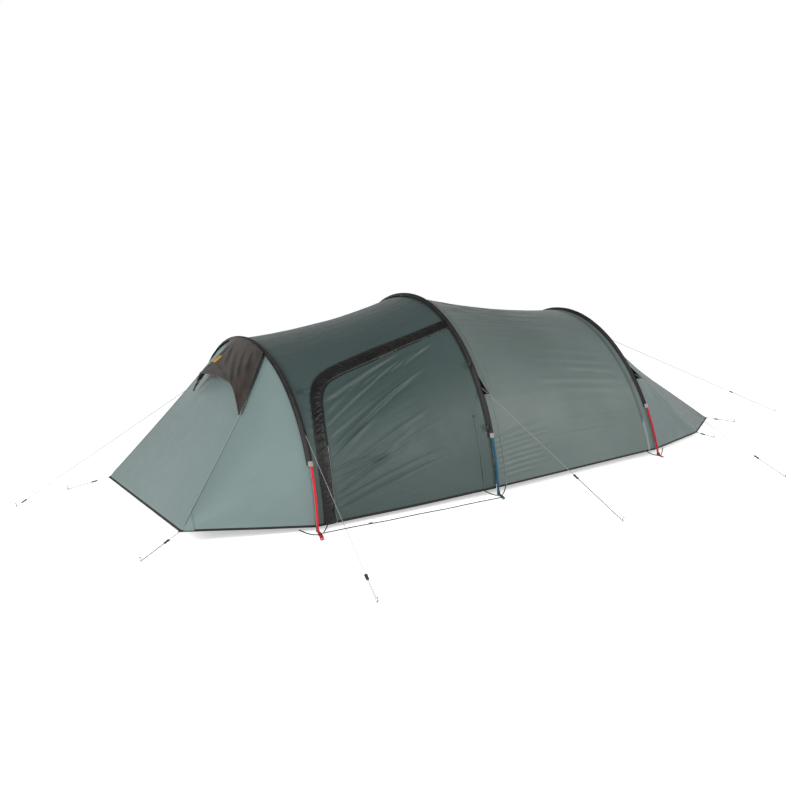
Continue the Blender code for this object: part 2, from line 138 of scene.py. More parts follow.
for lamp_name, at, aim, size, watts in (
    ("front_softbox", (-8.0, -3.0, 3.0), (-1.9, -0.2, 0.4), 2.6, 520),
    ("rear_softbox", (2.9, -4.6, 2.4), (0.45, -0.6, 0.75), 1.6, 150),
    ("door_softbox", (-1.2, -6.5, 4.2), (-0.8, -0.8, 0.5), 1.5, 110),
):
    lamp = bpy.data.lights.new(lamp_name, "AREA")
    lamp.size, lamp.energy = size, watts
    holder = bpy.data.objects.new(lamp_name, lamp)
    aim_turn = (Vector(aim) - Vector(at)).to_track_quat("-Z", "Y").to_matrix().to_4x4()
    holder.matrix_world = Matrix.Translation(at) @ aim_turn
    bpy.context.scene.collection.objects.link(holder)

# ---- Guylines, line runners and pegs --------------------------------------------------
# Eight long guylines of 3 mm braided polyester, each doubled from its line runner round
# the peg, and five short ones at the hem corners. Runners are moulded nylon, pegs are
# bent aluminium rod pushed into the ground.
ROW_X = -0.5404                 # the fitted tent is moved by this along X
HOOP_POWER = 2.1                # the hoops' rounded arch
HOOPS = ((-1.164, 0.953, 0.950, 0.019), (0.0, 0.925, 1.150, -0.027), (1.457, 0.763, 0.987, -0.203))
FRONT_CORNER, REAR_CORNER, REAR_NOSE = (-1.807, 0.750, 0.078), (2.143, 0.482, 0.036), (2.813, 0.0, 0.007)
CORD_R, CORD_END_Z, PEG_R = 0.0015, 0.010, 0.0030
SIDE_GUYS = (                   # hoop, share of its arc, near peg, far peg, runner share
    ("front", 0, 0.1622, (-1.397, -1.990), (-1.000, 1.990), 0.885),
    ("middle", 1, 0.1708, (0.154, -1.756), (0.154, 1.756), 0.700),
    ("rear", 2, 0.1820, (1.542, -1.673), (1.542, 1.673), 0.830),
)
END_GUYS = (("hood", (-1.262, 0.0, 0.805), (-2.375, 0.633), 0.965),
            ("tail", (1.560, 0.0, 0.806), (3.454, -0.165), 0.740))
CORNER_GUYS = (
    ("corner_front_near", (-1.807, -0.750, 0.078), (-2.036, -0.880)),
    ("corner_front_far", (-1.807, 0.750, 0.078), (-2.036, 0.880)),
    ("corner_rear_near", (2.143, -0.482, 0.036), (2.190, -0.601)),
    ("corner_rear_far", (2.143, 0.482, 0.036), (2.190, 0.601)),
    ("tail_nose", (2.813, 0.0, 0.007), (2.811, -0.273)),
)
LOOP_R = 0.0062                 # the line's bend round the peg


def hoop_at(k, t, inset=0.0):
    """A point on hoop k, t from 0 at the near foot to 1 at the far foot."""
    x, half, high, lean = HOOPS[k]
    c, s = math.cos(math.pi * t), math.sin(math.pi * t)
    z = (high - inset) * abs(s) ** (2 / HOOP_POWER)
    y = -(half - inset) * math.copysign(abs(c) ** (2 / HOOP_POWER), c)
    return Vector((x + lean * z + ROW_X, y, z))


def outward_from(point, centre_z=0.25):
    """The way out of the tent at a point, square to its long axis."""
    return Vector((0, point.y, point.z - centre_z)).normalized()


def lay_cord(name, points, radius, material, closed=False):
    """A round cord, wire or rod along a run of points."""
    curve = bpy.data.curves.new(name, "CURVE")
    curve.dimensions, curve.bevel_depth, curve.bevel_resolution = "3D", radius, 2
    curve.use_fill_caps = not closed
    spline = curve.splines.new("POLY")
    spline.points.add(len(points) - 1)
    for end, point in zip(spline.points, points):
        end.co = (*point, 1)
    spline.use_cyclic_u = closed
    spline.use_smooth = True
    curve.materials.append(material)
    obj = bpy.data.objects.new(name, curve)
    bpy.context.scene.collection.objects.link(obj)
    return obj


def braided_polyester():
    """Braided polyester line: a soft matt off-white with a crossed plait."""
    material, tree, shader = new_material("braided_polyester_guyline", Roughness=0.75, Sheen_Weight=0.25)
    at = add_node(tree, "TexCoord").outputs["Object"]
    # The real plait is 1.5 mm; it is drawn at 4 mm so that it shows.
    plait = add_node(tree, "TexWave", {"Vector": at, "Scale": 1 / 0.004 / 6.3, "Distortion": 1.5},
                     bands_direction="DIAGONAL")
    colour = add_node(tree, "ValToRGB", {"Fac": plait.outputs["Fac"]})
    colour.color_ramp.elements[0].color = linear("#4E4945")
    colour.color_ramp.elements[1].color = linear("#86807A")
    bump = add_node(tree, "Bump", {"Height": plait.outputs["Fac"], "Strength": 0.6, "Distance": 0.0004})
    tree.links.new(colour.outputs["Color"], shader.inputs["Base Color"])
    tree.links.new(bump.outputs["Normal"], shader.inputs["Normal"])
    return material


def moulded_nylon(name, dark, light):
    """Moulded nylon: a fine dull grain that dims the shine."""
    material, tree, shader = new_material(name, IOR=1.53)
    at = add_node(tree, "TexCoord").outputs["Object"]
    grain = add_node(tree, "TexNoise", {"Vector": at, "Scale": 1 / 0.003, "Detail": 3})
    colour = add_node(tree, "ValToRGB", {"Fac": grain.outputs["Fac"]})
    colour.color_ramp.elements[0].color, colour.color_ramp.elements[1].color = linear(dark), linear(light)
    dull = add_node(tree, "MapRange", {"Value": grain.outputs["Fac"], "To Min": 0.38, "To Max": 0.60})
    bump = add_node(tree, "Bump", {"Height": grain.outputs["Fac"], "Strength": 0.2, "Distance": 0.0004})
    tree.links.new(colour.outputs["Color"], shader.inputs["Base Color"])
    tree.links.new(dull.outputs["Result"], shader.inputs["Roughness"])
    tree.links.new(bump.outputs["Normal"], shader.inputs["Normal"])
    return material


def anodised_aluminium(name, dark, light, roughness):
    """Anodised drawn aluminium: a clean metallic tint with faint draw lines."""
    material, tree, shader = new_material(name, Metallic=0.85)
    at = add_node(tree, "TexCoord").outputs["Object"]
    lines = add_node(tree, "TexNoise", {
        "Vector": add_node(tree, "Mapping", {"Vector": at, "Scale": (900, 900, 18)}).outputs["Vector"],
        "Scale": 1.0, "Detail": 2})
    colour = add_node(tree, "ValToRGB", {"Fac": lines.outputs["Fac"]})
    colour.color_ramp.elements[0].color, colour.color_ramp.elements[1].color = linear(dark), linear(light)
    dull = add_node(tree, "MapRange", {"Value": lines.outputs["Fac"], "To Min": roughness - 0.08,
                                       "To Max": roughness + 0.08})
    tree.links.new(colour.outputs["Color"], shader.inputs["Base Color"])
    tree.links.new(dull.outputs["Result"], shader.inputs["Roughness"])
    return material


guyline = braided_polyester()
runner_nylon = moulded_nylon("black_moulded_nylon", "#161616", "#2A2A2A")
peg_metal = anodised_aluminium("grey_anodised_aluminium_peg", "#8B8F93", "#B9BDC0", 0.36)


def line_runner(name, centre, along):
    """A flattened moulded barrel with a hole for the line and a waist round its middle."""
    bm = bmesh.new()
    rim = [bm.verts.new((x, 0, z)) for x, z in (
        (0.0030, -0.015), (0.0042, -0.016), (0.0050, -0.014), (0.0047, -0.005), (0.0043, 0.0),
        (0.0047, 0.005), (0.0050, 0.014), (0.0042, 0.016), (0.0030, 0.015))]
    edges = [bm.edges.new((rim[i], rim[(i + 1) % len(rim)])) for i in range(len(rim))]
    bmesh.ops.spin(bm, geom=rim + edges, cent=(0, 0, 0), axis=(0, 0, 1), angle=math.tau, steps=24,
                   use_merge=True)
    bmesh.ops.remove_doubles(bm, verts=bm.verts, dist=1e-5)
    bmesh.ops.recalc_face_normals(bm, faces=bm.faces)
    side = along.cross(Vector((0, 0, 1))).normalized()
    flat = Matrix((side * 1.7, side.cross(along), along)).transposed().to_4x4()
    bmesh.ops.transform(bm, matrix=Matrix.Translation(centre) @ flat, verts=bm.verts)
    return finished_object(name, bm, runner_nylon)


def ground_peg(name, foot, out):
    """The part of a peg above the ground: a short rod bent over into a hook."""
    rise = [foot + Vector((0, 0, z)) for z in (0.0005, 0.008, 0.016, 0.022)]
    hook = [foot + out * (0.0075 - 0.0075 * math.cos(a)) + Vector((0, 0, 0.022 + 0.006 * math.sin(a)))
            for a in (0.45, 0.9, 1.35, 1.8, 2.3)]
    return lay_cord(name, rise + hook, PEG_R, peg_metal)


def guyed_line(name, start, peg, share, runner, peg_name):
    """One line: single down to its runner, then out round the peg and back."""
    end = Vector((peg[0] + ROW_X, peg[1], CORD_END_Z))
    along = (end - start).normalized()
    out = Vector((along.x, along.y, 0)).normalized()
    side = along.cross(Vector((0, 0, 1))).normalized()
    meet = start.lerp(end, share)
    shank = end + out * 0.0052
    turn = shank - out * 0.0015
    down = [start.lerp(end, share * q) for q in (0, .1, .2, .3, .4, .5, .6, .7, .8, .9, .97)]
    gap = 0.0024
    # The two strands stay side by side, so that the runner can slide, and part at the peg.
    part_at = 1 - 0.014 / (end - meet).length
    strands = [(0.0, gap), (part_at * 0.35, gap), (part_at * 0.7, gap), (part_at, gap), (1, LOOP_R)]
    centres = [meet.lerp(end, q) for q, _ in strands[:-1]] + [turn]
    out_run = [c - side * apart for c, (_, apart) in zip(centres, strands)]
    bend = [turn + side * LOOP_R * -math.cos(a) + out * LOOP_R * math.sin(a)
            for a in [math.pi * i / 8 for i in range(1, 8)]]
    back = [c + side * apart for c, (_, apart) in reversed(list(zip(centres, strands)))]
    points = down + out_run + bend + back
    line = lay_cord("line_" + name, points, CORD_R, guyline)
    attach(line, "tent")
    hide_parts("guy_" + name)
    foot = Vector((shank.x, shank.y, 0))
    peg_piece = ground_peg("rod_" + peg_name, foot, out)
    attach(peg_piece, "tent")
    if runner:
        barrel = line_runner("barrel_" + name, meet, along)
        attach(barrel, runner)
        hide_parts(runner)
        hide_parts("peg_" + peg_name)
    else:
        barrel = line_runner("barrel_" + name, meet, along)
        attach(barrel, "tent")
    return start


guy_starts = {}
for guy, k, t, near_peg, far_peg, share in SIDE_GUYS:
    for where, turn_t, peg in (("near", t, near_peg), ("far", 1 - t, far_peg)):
        on_hoop = hoop_at(k, turn_t)
        start = on_hoop + outward_from(on_hoop) * 0.014
        guy_starts[f"{guy}_{where}"] = guyed_line(f"{guy}_{where}", start, peg, share,
                                                  f"runner_{guy}_{where}", f"{guy}_{where}")
for guy, begin, peg, share in END_GUYS:
    start = Vector((begin[0] + ROW_X, begin[1], begin[2]))
    guy_starts[guy] = guyed_line(guy, start, peg, share, "runner_" + guy, guy)
for guy, corner, peg in CORNER_GUYS:
    begin = Vector((corner[0] + ROW_X, corner[1], corner[2]))
    begin += (Vector((peg[0] + ROW_X, peg[1], CORD_END_Z)) - begin).normalized() * 0.008
    guy_starts[guy] = guyed_line(guy, begin, peg, 0.35, None, guy)

# ---- Poles ----------------------------------------------------------------------------
# Three hoops of 9.5 mm anodised aluminium tube, shock-corded sections pushed through the
# sleeves; the bare ends at the feet are red, blue and red so that each finds its sleeve.
POLE_R = 0.00475
HEM_Z, SLEEVE_END_Z = (0.030, 0.045, 0.050), 0.340
LOW = 4 / 26                    # share of the arc on each bare leg


def hoop_t(k, z):
    return math.asin((z / HOOPS[k][2]) ** (HOOP_POWER / 2)) / math.pi


def arc_t(k, arc):
    """Arc share, 0 at the near hem and 1 at the far hem, as the hoop's own measure."""
    m = min(arc, 1 - arc)
    hem, sleeve = hoop_t(k, HEM_Z[k]), hoop_t(k, SLEEVE_END_Z)
    if m < LOW:
        t = hem + (sleeve - hem) * m / LOW
    else:
        t = sleeve + (0.5 - sleeve) * (m - LOW) / (0.5 - LOW)
    return 1 - t if arc > 0.5 else t


POLES = (("front", "#A8121D", "#D4202C"), ("middle", "#0B3C57", "#17607F"), ("rear", "#9C131E", "#C31F2B"))
pole_metal = {}
for k, (which, dark, light) in enumerate(POLES):
    pole_metal[which] = anodised_aluminium(which + "_anodised_aluminium_tube", dark, light, 0.34)
    foot_t = hoop_t(k, 0.006)
    ends = [hoop_at(k, foot_t + (1 - 2 * foot_t) * (0.5 - 0.5 * math.cos(math.pi * i / 70))) for i in range(71)]
    pole = lay_cord("tube_" + which, ends, POLE_R, pole_metal[which])
    pole.data.bevel_resolution = 4
    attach(pole, "tent")
    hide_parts("pole_" + which)

# ---- Fly: silicone-coated ripstop nylon panels ----------------------------------------
# Front tail, front bay, rear bay and rear tail, cut from silicone-coated ripstop nylon,
# sewn together under the sleeves and pulled taut by the hoops and the tail guys.
FABRIC_INSET, BAY_SAG, FLY_THICK = 0.0115, 0.035, 0.0012
BAY_LONG, ARC_LONG = (1.164, 1.457), (2.66, 2.50)


def smooth_step(low, high, x):
    x = min(max((x - low) / (high - low), 0.0), 1.0)
    return x * x * (3 - 2 * x)


def creases(x, y, lean, pitch, run, seed):
    """Long narrow creases at an angle, 0 to 1 high; pitch and run are metres."""
    a = math.radians(lean)
    along, across = x * math.cos(a) + y * math.sin(a), y * math.cos(a) - x * math.sin(a)
    ridge = 1 - 3.0 * abs(noise.noise(Vector((along / run, across / pitch, seed))))
    return max(0.0, ridge) ** 1.4


def tension_folds(x, y, folds):
    """Long straight folds pulled into taut cloth, each with its own start, end, height
    and width in metres; a shallow furrow runs below each."""
    out = 0.0
    for x0, y0, x1, y1, high, wide in folds:
        run = math.hypot(x1 - x0, y1 - y0)
        cx, cy = (x1 - x0) / run, (y1 - y0) / run
        q = ((x - x0) * cx + (y - y0) * cy) / run
        if -0.1 < q < 1.1:
            off = (y - y0) * cx - (x - x0) * cy - 0.05 * run * q * (1 - q)
            if abs(off) < 6 * wide:
                ends = smooth_step(-0.08, 0.12, q) * smooth_step(-0.1, 0.45, 1 - q)
                out += high * ends * (math.exp(-(off / wide) ** 2) - 0.6 * math.exp(-((off + 1.9 * wide) / (1.3 * wide)) ** 2))
    return out


def rumple(x, y, size, seed):
    return noise.noise(Vector((x / size, y / size, seed)))


def bay_at(k, s, arc, out=0.0):
    """A point on the cloth between hoops k and k + 1, moved out by out."""
    p = hoop_at(k, arc_t(k, arc), FABRIC_INSET).lerp(hoop_at(k + 1, arc_t(k + 1, arc), FABRIC_INSET), s)
    sag = BAY_SAG * 4 * s * (1 - s) * math.sin(math.pi * arc)
    return p + outward_from(p, 0.3) * (out - sag)


def tail_at(k, side, corner, nose, seam, q, arc, out=0.0):
    """A point on an end panel: cones to the two corners, a flat panel between them."""
    j, last = arc * 26, 26
    m = min(j, last - j)
    end = Vector((corner[0] + ROW_X, math.copysign(corner[1], arc - 0.5), corner[2]))
    middle = (Vector((nose[0] + ROW_X, nose[1], nose[2])) if nose
              else Vector((corner[0] + ROW_X, 0, corner[2])))
    base = end.lerp(middle, 0.0 if m <= seam else (m - seam) / (last / 2 - seam))
    top = hoop_at(k, arc_t(k, arc), FABRIC_INSET) + Vector((side * 0.0012, 0, 0))
    p = top.lerp(base, q)
    if out:
        p = p + (p - Vector((HOOPS[k][0] + ROW_X - side * 0.3, 0, 0.2))).normalized() * out
    return p


def cloth(name, patches, material, thickness=FLY_THICK, look_from=None):
    """Fine grids laid over shaped cloth. Each patch is columns, rows and a function of
    (u, v) that gives the point and its place on the flat cut, in metres."""
    bm = bmesh.new()
    cut_map = bm.loops.layers.uv.new("cut")
    for columns, rows, place in patches:
        made = bmesh.ops.create_grid(bm, x_segments=columns, y_segments=rows, size=0.5,
                                     calc_uvs=True)["verts"]
        cut = {}
        for v in made:
            point, flat = place(min(max(v.co.x + 0.5, 0.0), 1.0), min(max(v.co.y + 0.5, 0.0), 1.0))
            cut[v], v.co = flat, point
        faces = list({f for v in made for f in v.link_faces})
        facing = 0.0
        for face in faces:
            face.normal_update()
            for loop in face.loops:
                loop[cut_map].uv = cut[loop.vert]
            middle = face.calc_center_median()
            away = outward_from(middle) if look_from is None else middle - Vector(look_from)
            facing += face.normal.dot(away) * face.calc_area()
        if facing < 0:
            bmesh.ops.reverse_faces(bm, faces=faces)
    bmesh.ops.remove_doubles(bm, verts=bm.verts, dist=2e-5)
    bmesh.ops.dissolve_degenerate(bm, edges=bm.edges, dist=1e-6)
    obj = finished_object(name, bm, material)
    if thickness:
        wall = obj.modifiers.new("cloth_thickness", "SOLIDIFY")
        wall.thickness, wall.offset = thickness, -1
    return obj


def bake_thickness(obj):
    """The cloth with its thickness made part of the mesh."""
    graph = bpy.context.evaluated_depsgraph_get()
    mesh = bpy.data.meshes.new_from_object(obj.evaluated_get(graph))
    obj.modifiers.clear()
    obj.data = mesh
    return obj


def coated_ripstop(name, base, light, shine=0.46):
    """Silicone-coated ripstop nylon: a smooth satin cloth with a faint raised grid of
    thicker threads, slow changes of tint and a light crinkle that breaks the shine."""
    material, tree, shader = new_material(name, IOR=1.46, Specular_IOR_Level=0.32)
    cut = add_node(tree, "TexCoord").outputs["UV"]
    # The real grid is 5 mm; it is drawn at 8 mm so that it shows close up.
    grid_x = add_node(tree, "TexWave", {"Vector": cut, "Scale": 1 / 0.008 / 6.283}, bands_direction="X")
    grid_y = add_node(tree, "TexWave", {"Vector": cut, "Scale": 1 / 0.008 / 6.283}, bands_direction="Y")
    grid = add_node(tree, "Math", {0: grid_x.outputs["Fac"], 1: grid_y.outputs["Fac"]}, operation="MAXIMUM")
    thread = add_node(tree, "Math", {0: grid.outputs["Value"], 1: 8.0}, operation="POWER")
    crinkle = add_node(tree, "TexNoise", {"Vector": cut, "Scale": 1 / 0.045, "Detail": 5, "Roughness": 0.6,
                                          "Distortion": 0.6})
    slow = add_node(tree, "TexNoise", {"Vector": cut, "Scale": 1 / 0.55, "Detail": 3})
    tint = add_node(tree, "ValToRGB", {"Fac": slow.outputs["Fac"]})
    tint.color_ramp.elements[0].position, tint.color_ramp.elements[1].position = 0.30, 0.72
    tint.color_ramp.elements[0].color, tint.color_ramp.elements[1].color = linear(base), linear(light)
    faint = add_node(tree, "Math", {0: thread.outputs["Value"], 1: 0.18}, operation="MULTIPLY")
    darker = add_node(tree, "MixRGB", {"Fac": faint.outputs["Value"], "Color1": tint.outputs["Color"],
                                       "Color2": linear(base)})
    colour = darker.outputs["Color"]
    dull = add_node(tree, "MapRange", {"Value": crinkle.outputs["Fac"], "To Min": shine - 0.07,
                                       "To Max": shine + 0.12})
    fine = add_node(tree, "Bump", {"Height": thread.outputs["Value"], "Strength": 0.06, "Distance": 0.0004})
    soft = add_node(tree, "Bump", {"Height": crinkle.outputs["Fac"], "Strength": 0.16, "Distance": 0.005,
                                   "Normal": fine.outputs["Normal"]})
    tree.links.new(colour, shader.inputs["Base Color"])
    tree.links.new(dull.outputs["Result"], shader.inputs["Roughness"])
    tree.links.new(soft.outputs["Normal"], shader.inputs["Normal"])
    return material


def declare_fly(obj, node):
    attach(obj, "tent")
    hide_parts(node)


# On the end panels a fold is placed by its share of the way to the ground and of the arc.
FRONT_TAIL_FOLDS = ((.36, .232, .66, .226, .0030, .010), (.30, .208, .62, .198, .0026, .009),
                    (.34, .186, .60, .176, .0024, .008),
                    (.12, .028, .74, .036, .0028, .009), (.18, .060, .80, .070, .0026, .009),
                    (.14, .092, .70, .104, .0020, .009))
REAR_TAIL_FOLDS = tuple((.10 + .05 * i, .05 + .045 * i, .70 + .03 * i, .075 + .040 * i, .0034,
                         .008) for i in range(7))


def end_panel_folds(u, v, long, wide, folds):
    m = min(v, 1 - v)
    return tension_folds(u * long, m * wide, [(a * long, b * wide, c * long, d * wide, h, w)
                                              for a, b, c, d, h, w in folds])


def front_tail_cloth(u, v):
    x, y = u * 0.75, v * ARC_LONG[0]
    tug = smooth_step(0.0, 0.06, u) * smooth_step(0.0, 0.06, 1 - u)
    out = end_panel_folds(u, v, 0.75, ARC_LONG[0], FRONT_TAIL_FOLDS)
    out += 0.0035 * rumple(x, y, 0.32, 1.7)
    hollow = 0.014 * math.sin(math.pi * u) * math.sin(math.pi * v)
    return tail_at(0, -1, FRONT_CORNER, None, 10, u, v, out * tug - hollow), (x, y)


def rear_tail_cloth(u, v):
    x, y = u * 1.3, v * ARC_LONG[1]
    tug = smooth_step(0.0, 0.06, u) * smooth_step(0.0, 0.06, 1 - u)
    out = end_panel_folds(u, v, 1.0, ARC_LONG[1], REAR_TAIL_FOLDS) + 0.0030 * rumple(x, y, 0.25, 4.7)
    hollow = 0.018 * math.sin(math.pi * u) * math.sin(math.pi * v)
    return tail_at(2, 1, REAR_CORNER, REAR_NOSE, 8, u, v, out * tug - hollow), (x, y)


ROOF_FOLDS = [(0.30 + 0.075 * i, 0.84 + 0.012 * i, 0.52 + 0.085 * i, 0.97 + 0.018 * i, 0.0050,
               0.008) for i in range(7)]
ROOF_FOLDS += [(0.035, 0.56 + 0.040 * i, 0.115, 0.545 + 0.040 * i, 0.0035, 0.006) for i in range(6)]
ROOF_FOLDS += [(0.025, 0.76, 0.20, 0.735, 0.0035, 0.007), (0.030, 0.80, 0.17, 0.790, 0.0025, 0.006)]
SLEEPING_FOLDS = [(0.02, 0.055 + 0.040 * i, 0.40 + 0.22 * math.sin(1.9 * i) ** 2, 0.075 + 0.043 * i,
                   0.0062 - 0.0003 * i, 0.0075) for i in range(9)]
SLEEPING_FOLDS += [(0.04 + 0.20 * math.sin(2.3 * i) ** 2, 0.80 + 0.030 * i,
                    0.80 + 0.5 * math.sin(1.1 * i) ** 2,
                    0.815 + 0.030 * i, 0.0038 + 0.0014 * math.sin(3.1 * i), 0.0065) for i in range(12)]
SLEEPING_FOLDS += [(0.55 + 0.30 * math.sin(1.3 * i) ** 2, 0.30 + 0.055 * i, 1.36, 0.27 + 0.052 * i,
                    0.0030, 0.008) for i in range(9)]


def bay_folds(k, s, arc):
    """How far the cloth of a bay stands out: hoop puckers, tension folds, slow waves."""
    m = min(arc, 1 - arc)
    x, y = s * BAY_LONG[k], m * ARC_LONG[k]
    edge = smooth_step(0.0, 0.04, s) * smooth_step(0.0, 0.04, 1 - s) * smooth_step(0.0, 0.015, m)
    near_hoop = math.exp(-s * BAY_LONG[k] / 0.07) + math.exp(-(1 - s) * BAY_LONG[k] / 0.06)
    out = 0.0022 * near_hoop * creases(x, y, 8, 0.040, 0.25, 2.0 + k)
    out += tension_folds(x, y, SLEEPING_FOLDS if k else ROOF_FOLDS)
    out += 0.0026 * rumple(x, arc * ARC_LONG[k], 0.30, 11.0 + k)
    out += 0.0012 * creases(x, y, 6, 0.045, 0.50, 4.4 + k)
    return out * edge


def rear_bay_cloth(u, v):
    s = min(max(u, 0.0008), 0.9992)
    return bay_at(1, s, v, bay_folds(1, s, v)), (s * BAY_LONG[1], v * ARC_LONG[1])


# The front bay is cut away on the near side for the door: the cut runs up from the hem,
# round a rounded corner and along to the middle hoop.
DOOR_EDGE = ((.100, 0), (.096, .05), (.095, .10), (.100, .15), (.110, .20), (.126, .235), (.150, .265),
             (.200, .287), (.285, .300), (.420, .311), (.545, .320), (.700, .330), (.850, .337), (1, .342))
ROOF_EDGE = ((0, 0), (0, .06), (0, .12), (0, .19), (0, .27), (0, .37), (0, .5),
             (.12, .5), (.28, .5), (.44, .5), (.58, .5), (.72, .5), (.86, .5), (1, .5))
ROOF_S = (0, .12, .28, .44, .58, .72, .86, 1)


def along_line(line, q):
    """A place on a run of points, q from 0 to 1, in straight steps."""
    at = min(max(q, 0.0), 1.0) * (len(line) - 1)
    i = min(int(at), len(line) - 2)
    return tuple(a + (b - a) * (at - i) for a, b in zip(line[i], line[i + 1]))


def round_line(line, q):
    """The same with the corners rounded by a smooth curve through the points."""
    at = min(max(q, 0.0), 1.0) * (len(line) - 1)
    i = min(int(at), len(line) - 2)
    f = at - i
    p = [line[max(i - 1, 0)], line[i], line[i + 1], line[min(i + 2, len(line) - 1)]]
    return tuple(0.5 * (2 * b + (c - a) * f + (2 * a - 5 * b + 4 * c - d) * f * f + (3 * b - a - 3 * c + d) * f ** 3)
                 for a, b, c, d in zip(*p))


def front_bay_near(u, v):
    roof, door = along_line(ROOF_EDGE, u), round_line(DOOR_EDGE, u)
    s, arc = roof[0] + (door[0] - roof[0]) * v, max(roof[1] + (door[1] - roof[1]) * v, 0.0)
    s = min(max(s, 0.0012), 0.9988)
    return bay_at(0, s, arc, bay_folds(0, s, arc) * smooth_step(0.0, 0.12,
            1 - v)), (s * BAY_LONG[0], arc * ARC_LONG[0])


def front_bay_far(u, v):
    s = min(max(along_line([(x,) for x in ROOF_S], u)[0], 0.0012), 0.9988)
    arc = 0.5 + 0.5 * v
    return bay_at(0, s, arc, bay_folds(0, s, arc)), (s * BAY_LONG[0], arc * ARC_LONG[0])


# The four panels and the door below are one grey-green ripstop; their different colours are painted light and shade:
# the front tail lighter as painted light from the front lamp, the porch roof darker as painted shade, the rear bay
# lighter as painted light where the pale inner shows through, the rear tail and door darker as painted shade.
front_tail = cloth("cloth_front_tail", [(56, 168, front_tail_cloth)],
                   coated_ripstop("grey_green_ripstop_painted_lit_front", "#566463", "#5F6E6C"))
declare_fly(front_tail, "fly_front_tail")
front_bay = cloth("cloth_front_bay", [(156, 84, front_bay_near), (84, 130, front_bay_far)],
                  coated_ripstop("grey_green_ripstop_painted_shade_porch", "#2D3A39", "#323F3E"))
declare_fly(front_bay, "fly_front_bay")
rear_bay = cloth("cloth_rear_bay", [(120, 250, rear_bay_cloth)],
                 coated_ripstop("grey_green_ripstop_painted_light_sleeping", "#434E4B", "#4D5855", 0.42))
declare_fly(rear_bay, "fly_rear_bay")
rear_tail = cloth("cloth_rear_tail", [(76, 150, rear_tail_cloth)],
                  coated_ripstop("grey_green_ripstop_painted_shade_rear", "#465352", "#4E5C5A"))
declare_fly(rear_tail, "fly_rear_tail")

# ---- Door, storm flap and zip ---------------------------------------------------------
# A D-shaped door of the same nylon, sewn to the middle hoop and closed round its other
# two sides by a coil zip. A black crinkled storm flap covers the zip.
FLAP_EDGE = ((.040, 0), (.038, .05), (.037, .10), (.042, .15), (.055, .20), (.072, .237), (.100, .275),
             (.155, .302), (.250, .3205), (.400, .334), (.545, .344), (.700, .351), (.850, .357), (1, .361))
DOOR_BASE = ((.100, 0), (.25, 0), (.40, 0), (.55, 0), (.70, 0), (.85, 0), (1, 0),
             (1, .05), (1, .10), (1, .16), (1, .21), (1, .26), (1, .30), (1, .342))


# Folds in the door run from the zip up towards the middle hoop, a hand's width apart.
DOOR_FOLDS = [(0.125, 0.085 + 0.052 * i + 0.008 * math.sin(2.4 * i),
               0.125 + (0.62 + 0.16 * math.sin(1.7 * i + 0.6)),
               0.085 + 0.052 * i + 0.240 + 0.030 * math.sin(i), 0.0062 + 0.0024 * math.sin(2.9 * i + 1.0),
               0.0070 + 0.0020 * math.sin(1.3 * i)) for i in range(12)]
DOOR_FOLDS += [(0.16 + 0.06 * i, 0.47 + 0.028 * i, 0.52 + 0.075 * i, 0.60 + 0.030 * i, 0.0050,
                0.007) for i in range(6)]
DOOR_FOLDS += [(0.24 + 0.10 * i, 0.69 + 0.018 * i, 0.46 + 0.11 * i, 0.77 + 0.018 * i, 0.0052,
                0.007) for i in range(6)]


def door_cloth(u, v):
    edge, base = round_line(DOOR_EDGE, u), along_line(DOOR_BASE, u)
    s = min(edge[0] + (base[0] - edge[0]) * v + 0.004, 0.9965)
    arc = max(edge[1] + (base[1] - edge[1]) * v - 0.0016, 0.0)
    x, y = s * BAY_LONG[0], arc * ARC_LONG[0]
    hem = smooth_step(0.0, 0.03, arc) * smooth_step(0.0, 0.05, 1 - s)
    out = tension_folds(x, y, DOOR_FOLDS) + 0.0030 * rumple(x, y, 0.26, 15.1)
    out += 0.0012 * (1 - smooth_step(0.5, 0.9, s)) * creases(x, y, 14, 0.030, 0.30, 21.2)
    return bay_at(0, s, arc, out * hem * smooth_step(0.0, 0.04, v)), (x, y)


def flap_cloth(u, v):
    outer, inner = round_line(FLAP_EDGE, u), round_line(DOOR_EDGE, u)
    s = outer[0] + (inner[0] - outer[0]) * v
    arc = max(outer[1] + (inner[1] - outer[1]) * v, 0.0)
    s = min(max(s, 0.0175), 0.9825)
    x, y = s * BAY_LONG[0], arc * ARC_LONG[0]
    out = 0.0065 + 0.0022 * math.sin(math.pi * v)
    out += 0.0042 * math.sin(math.pi * v) * (creases(u * 2.1, v * 0.07, 62, 0.030, 0.09, 31.0)
                                             + 0.8 * creases(u * 2.1, v * 0.07, -25, 0.022, 0.10, 35.0))
    return bay_at(0, s, arc, out), (x, y)


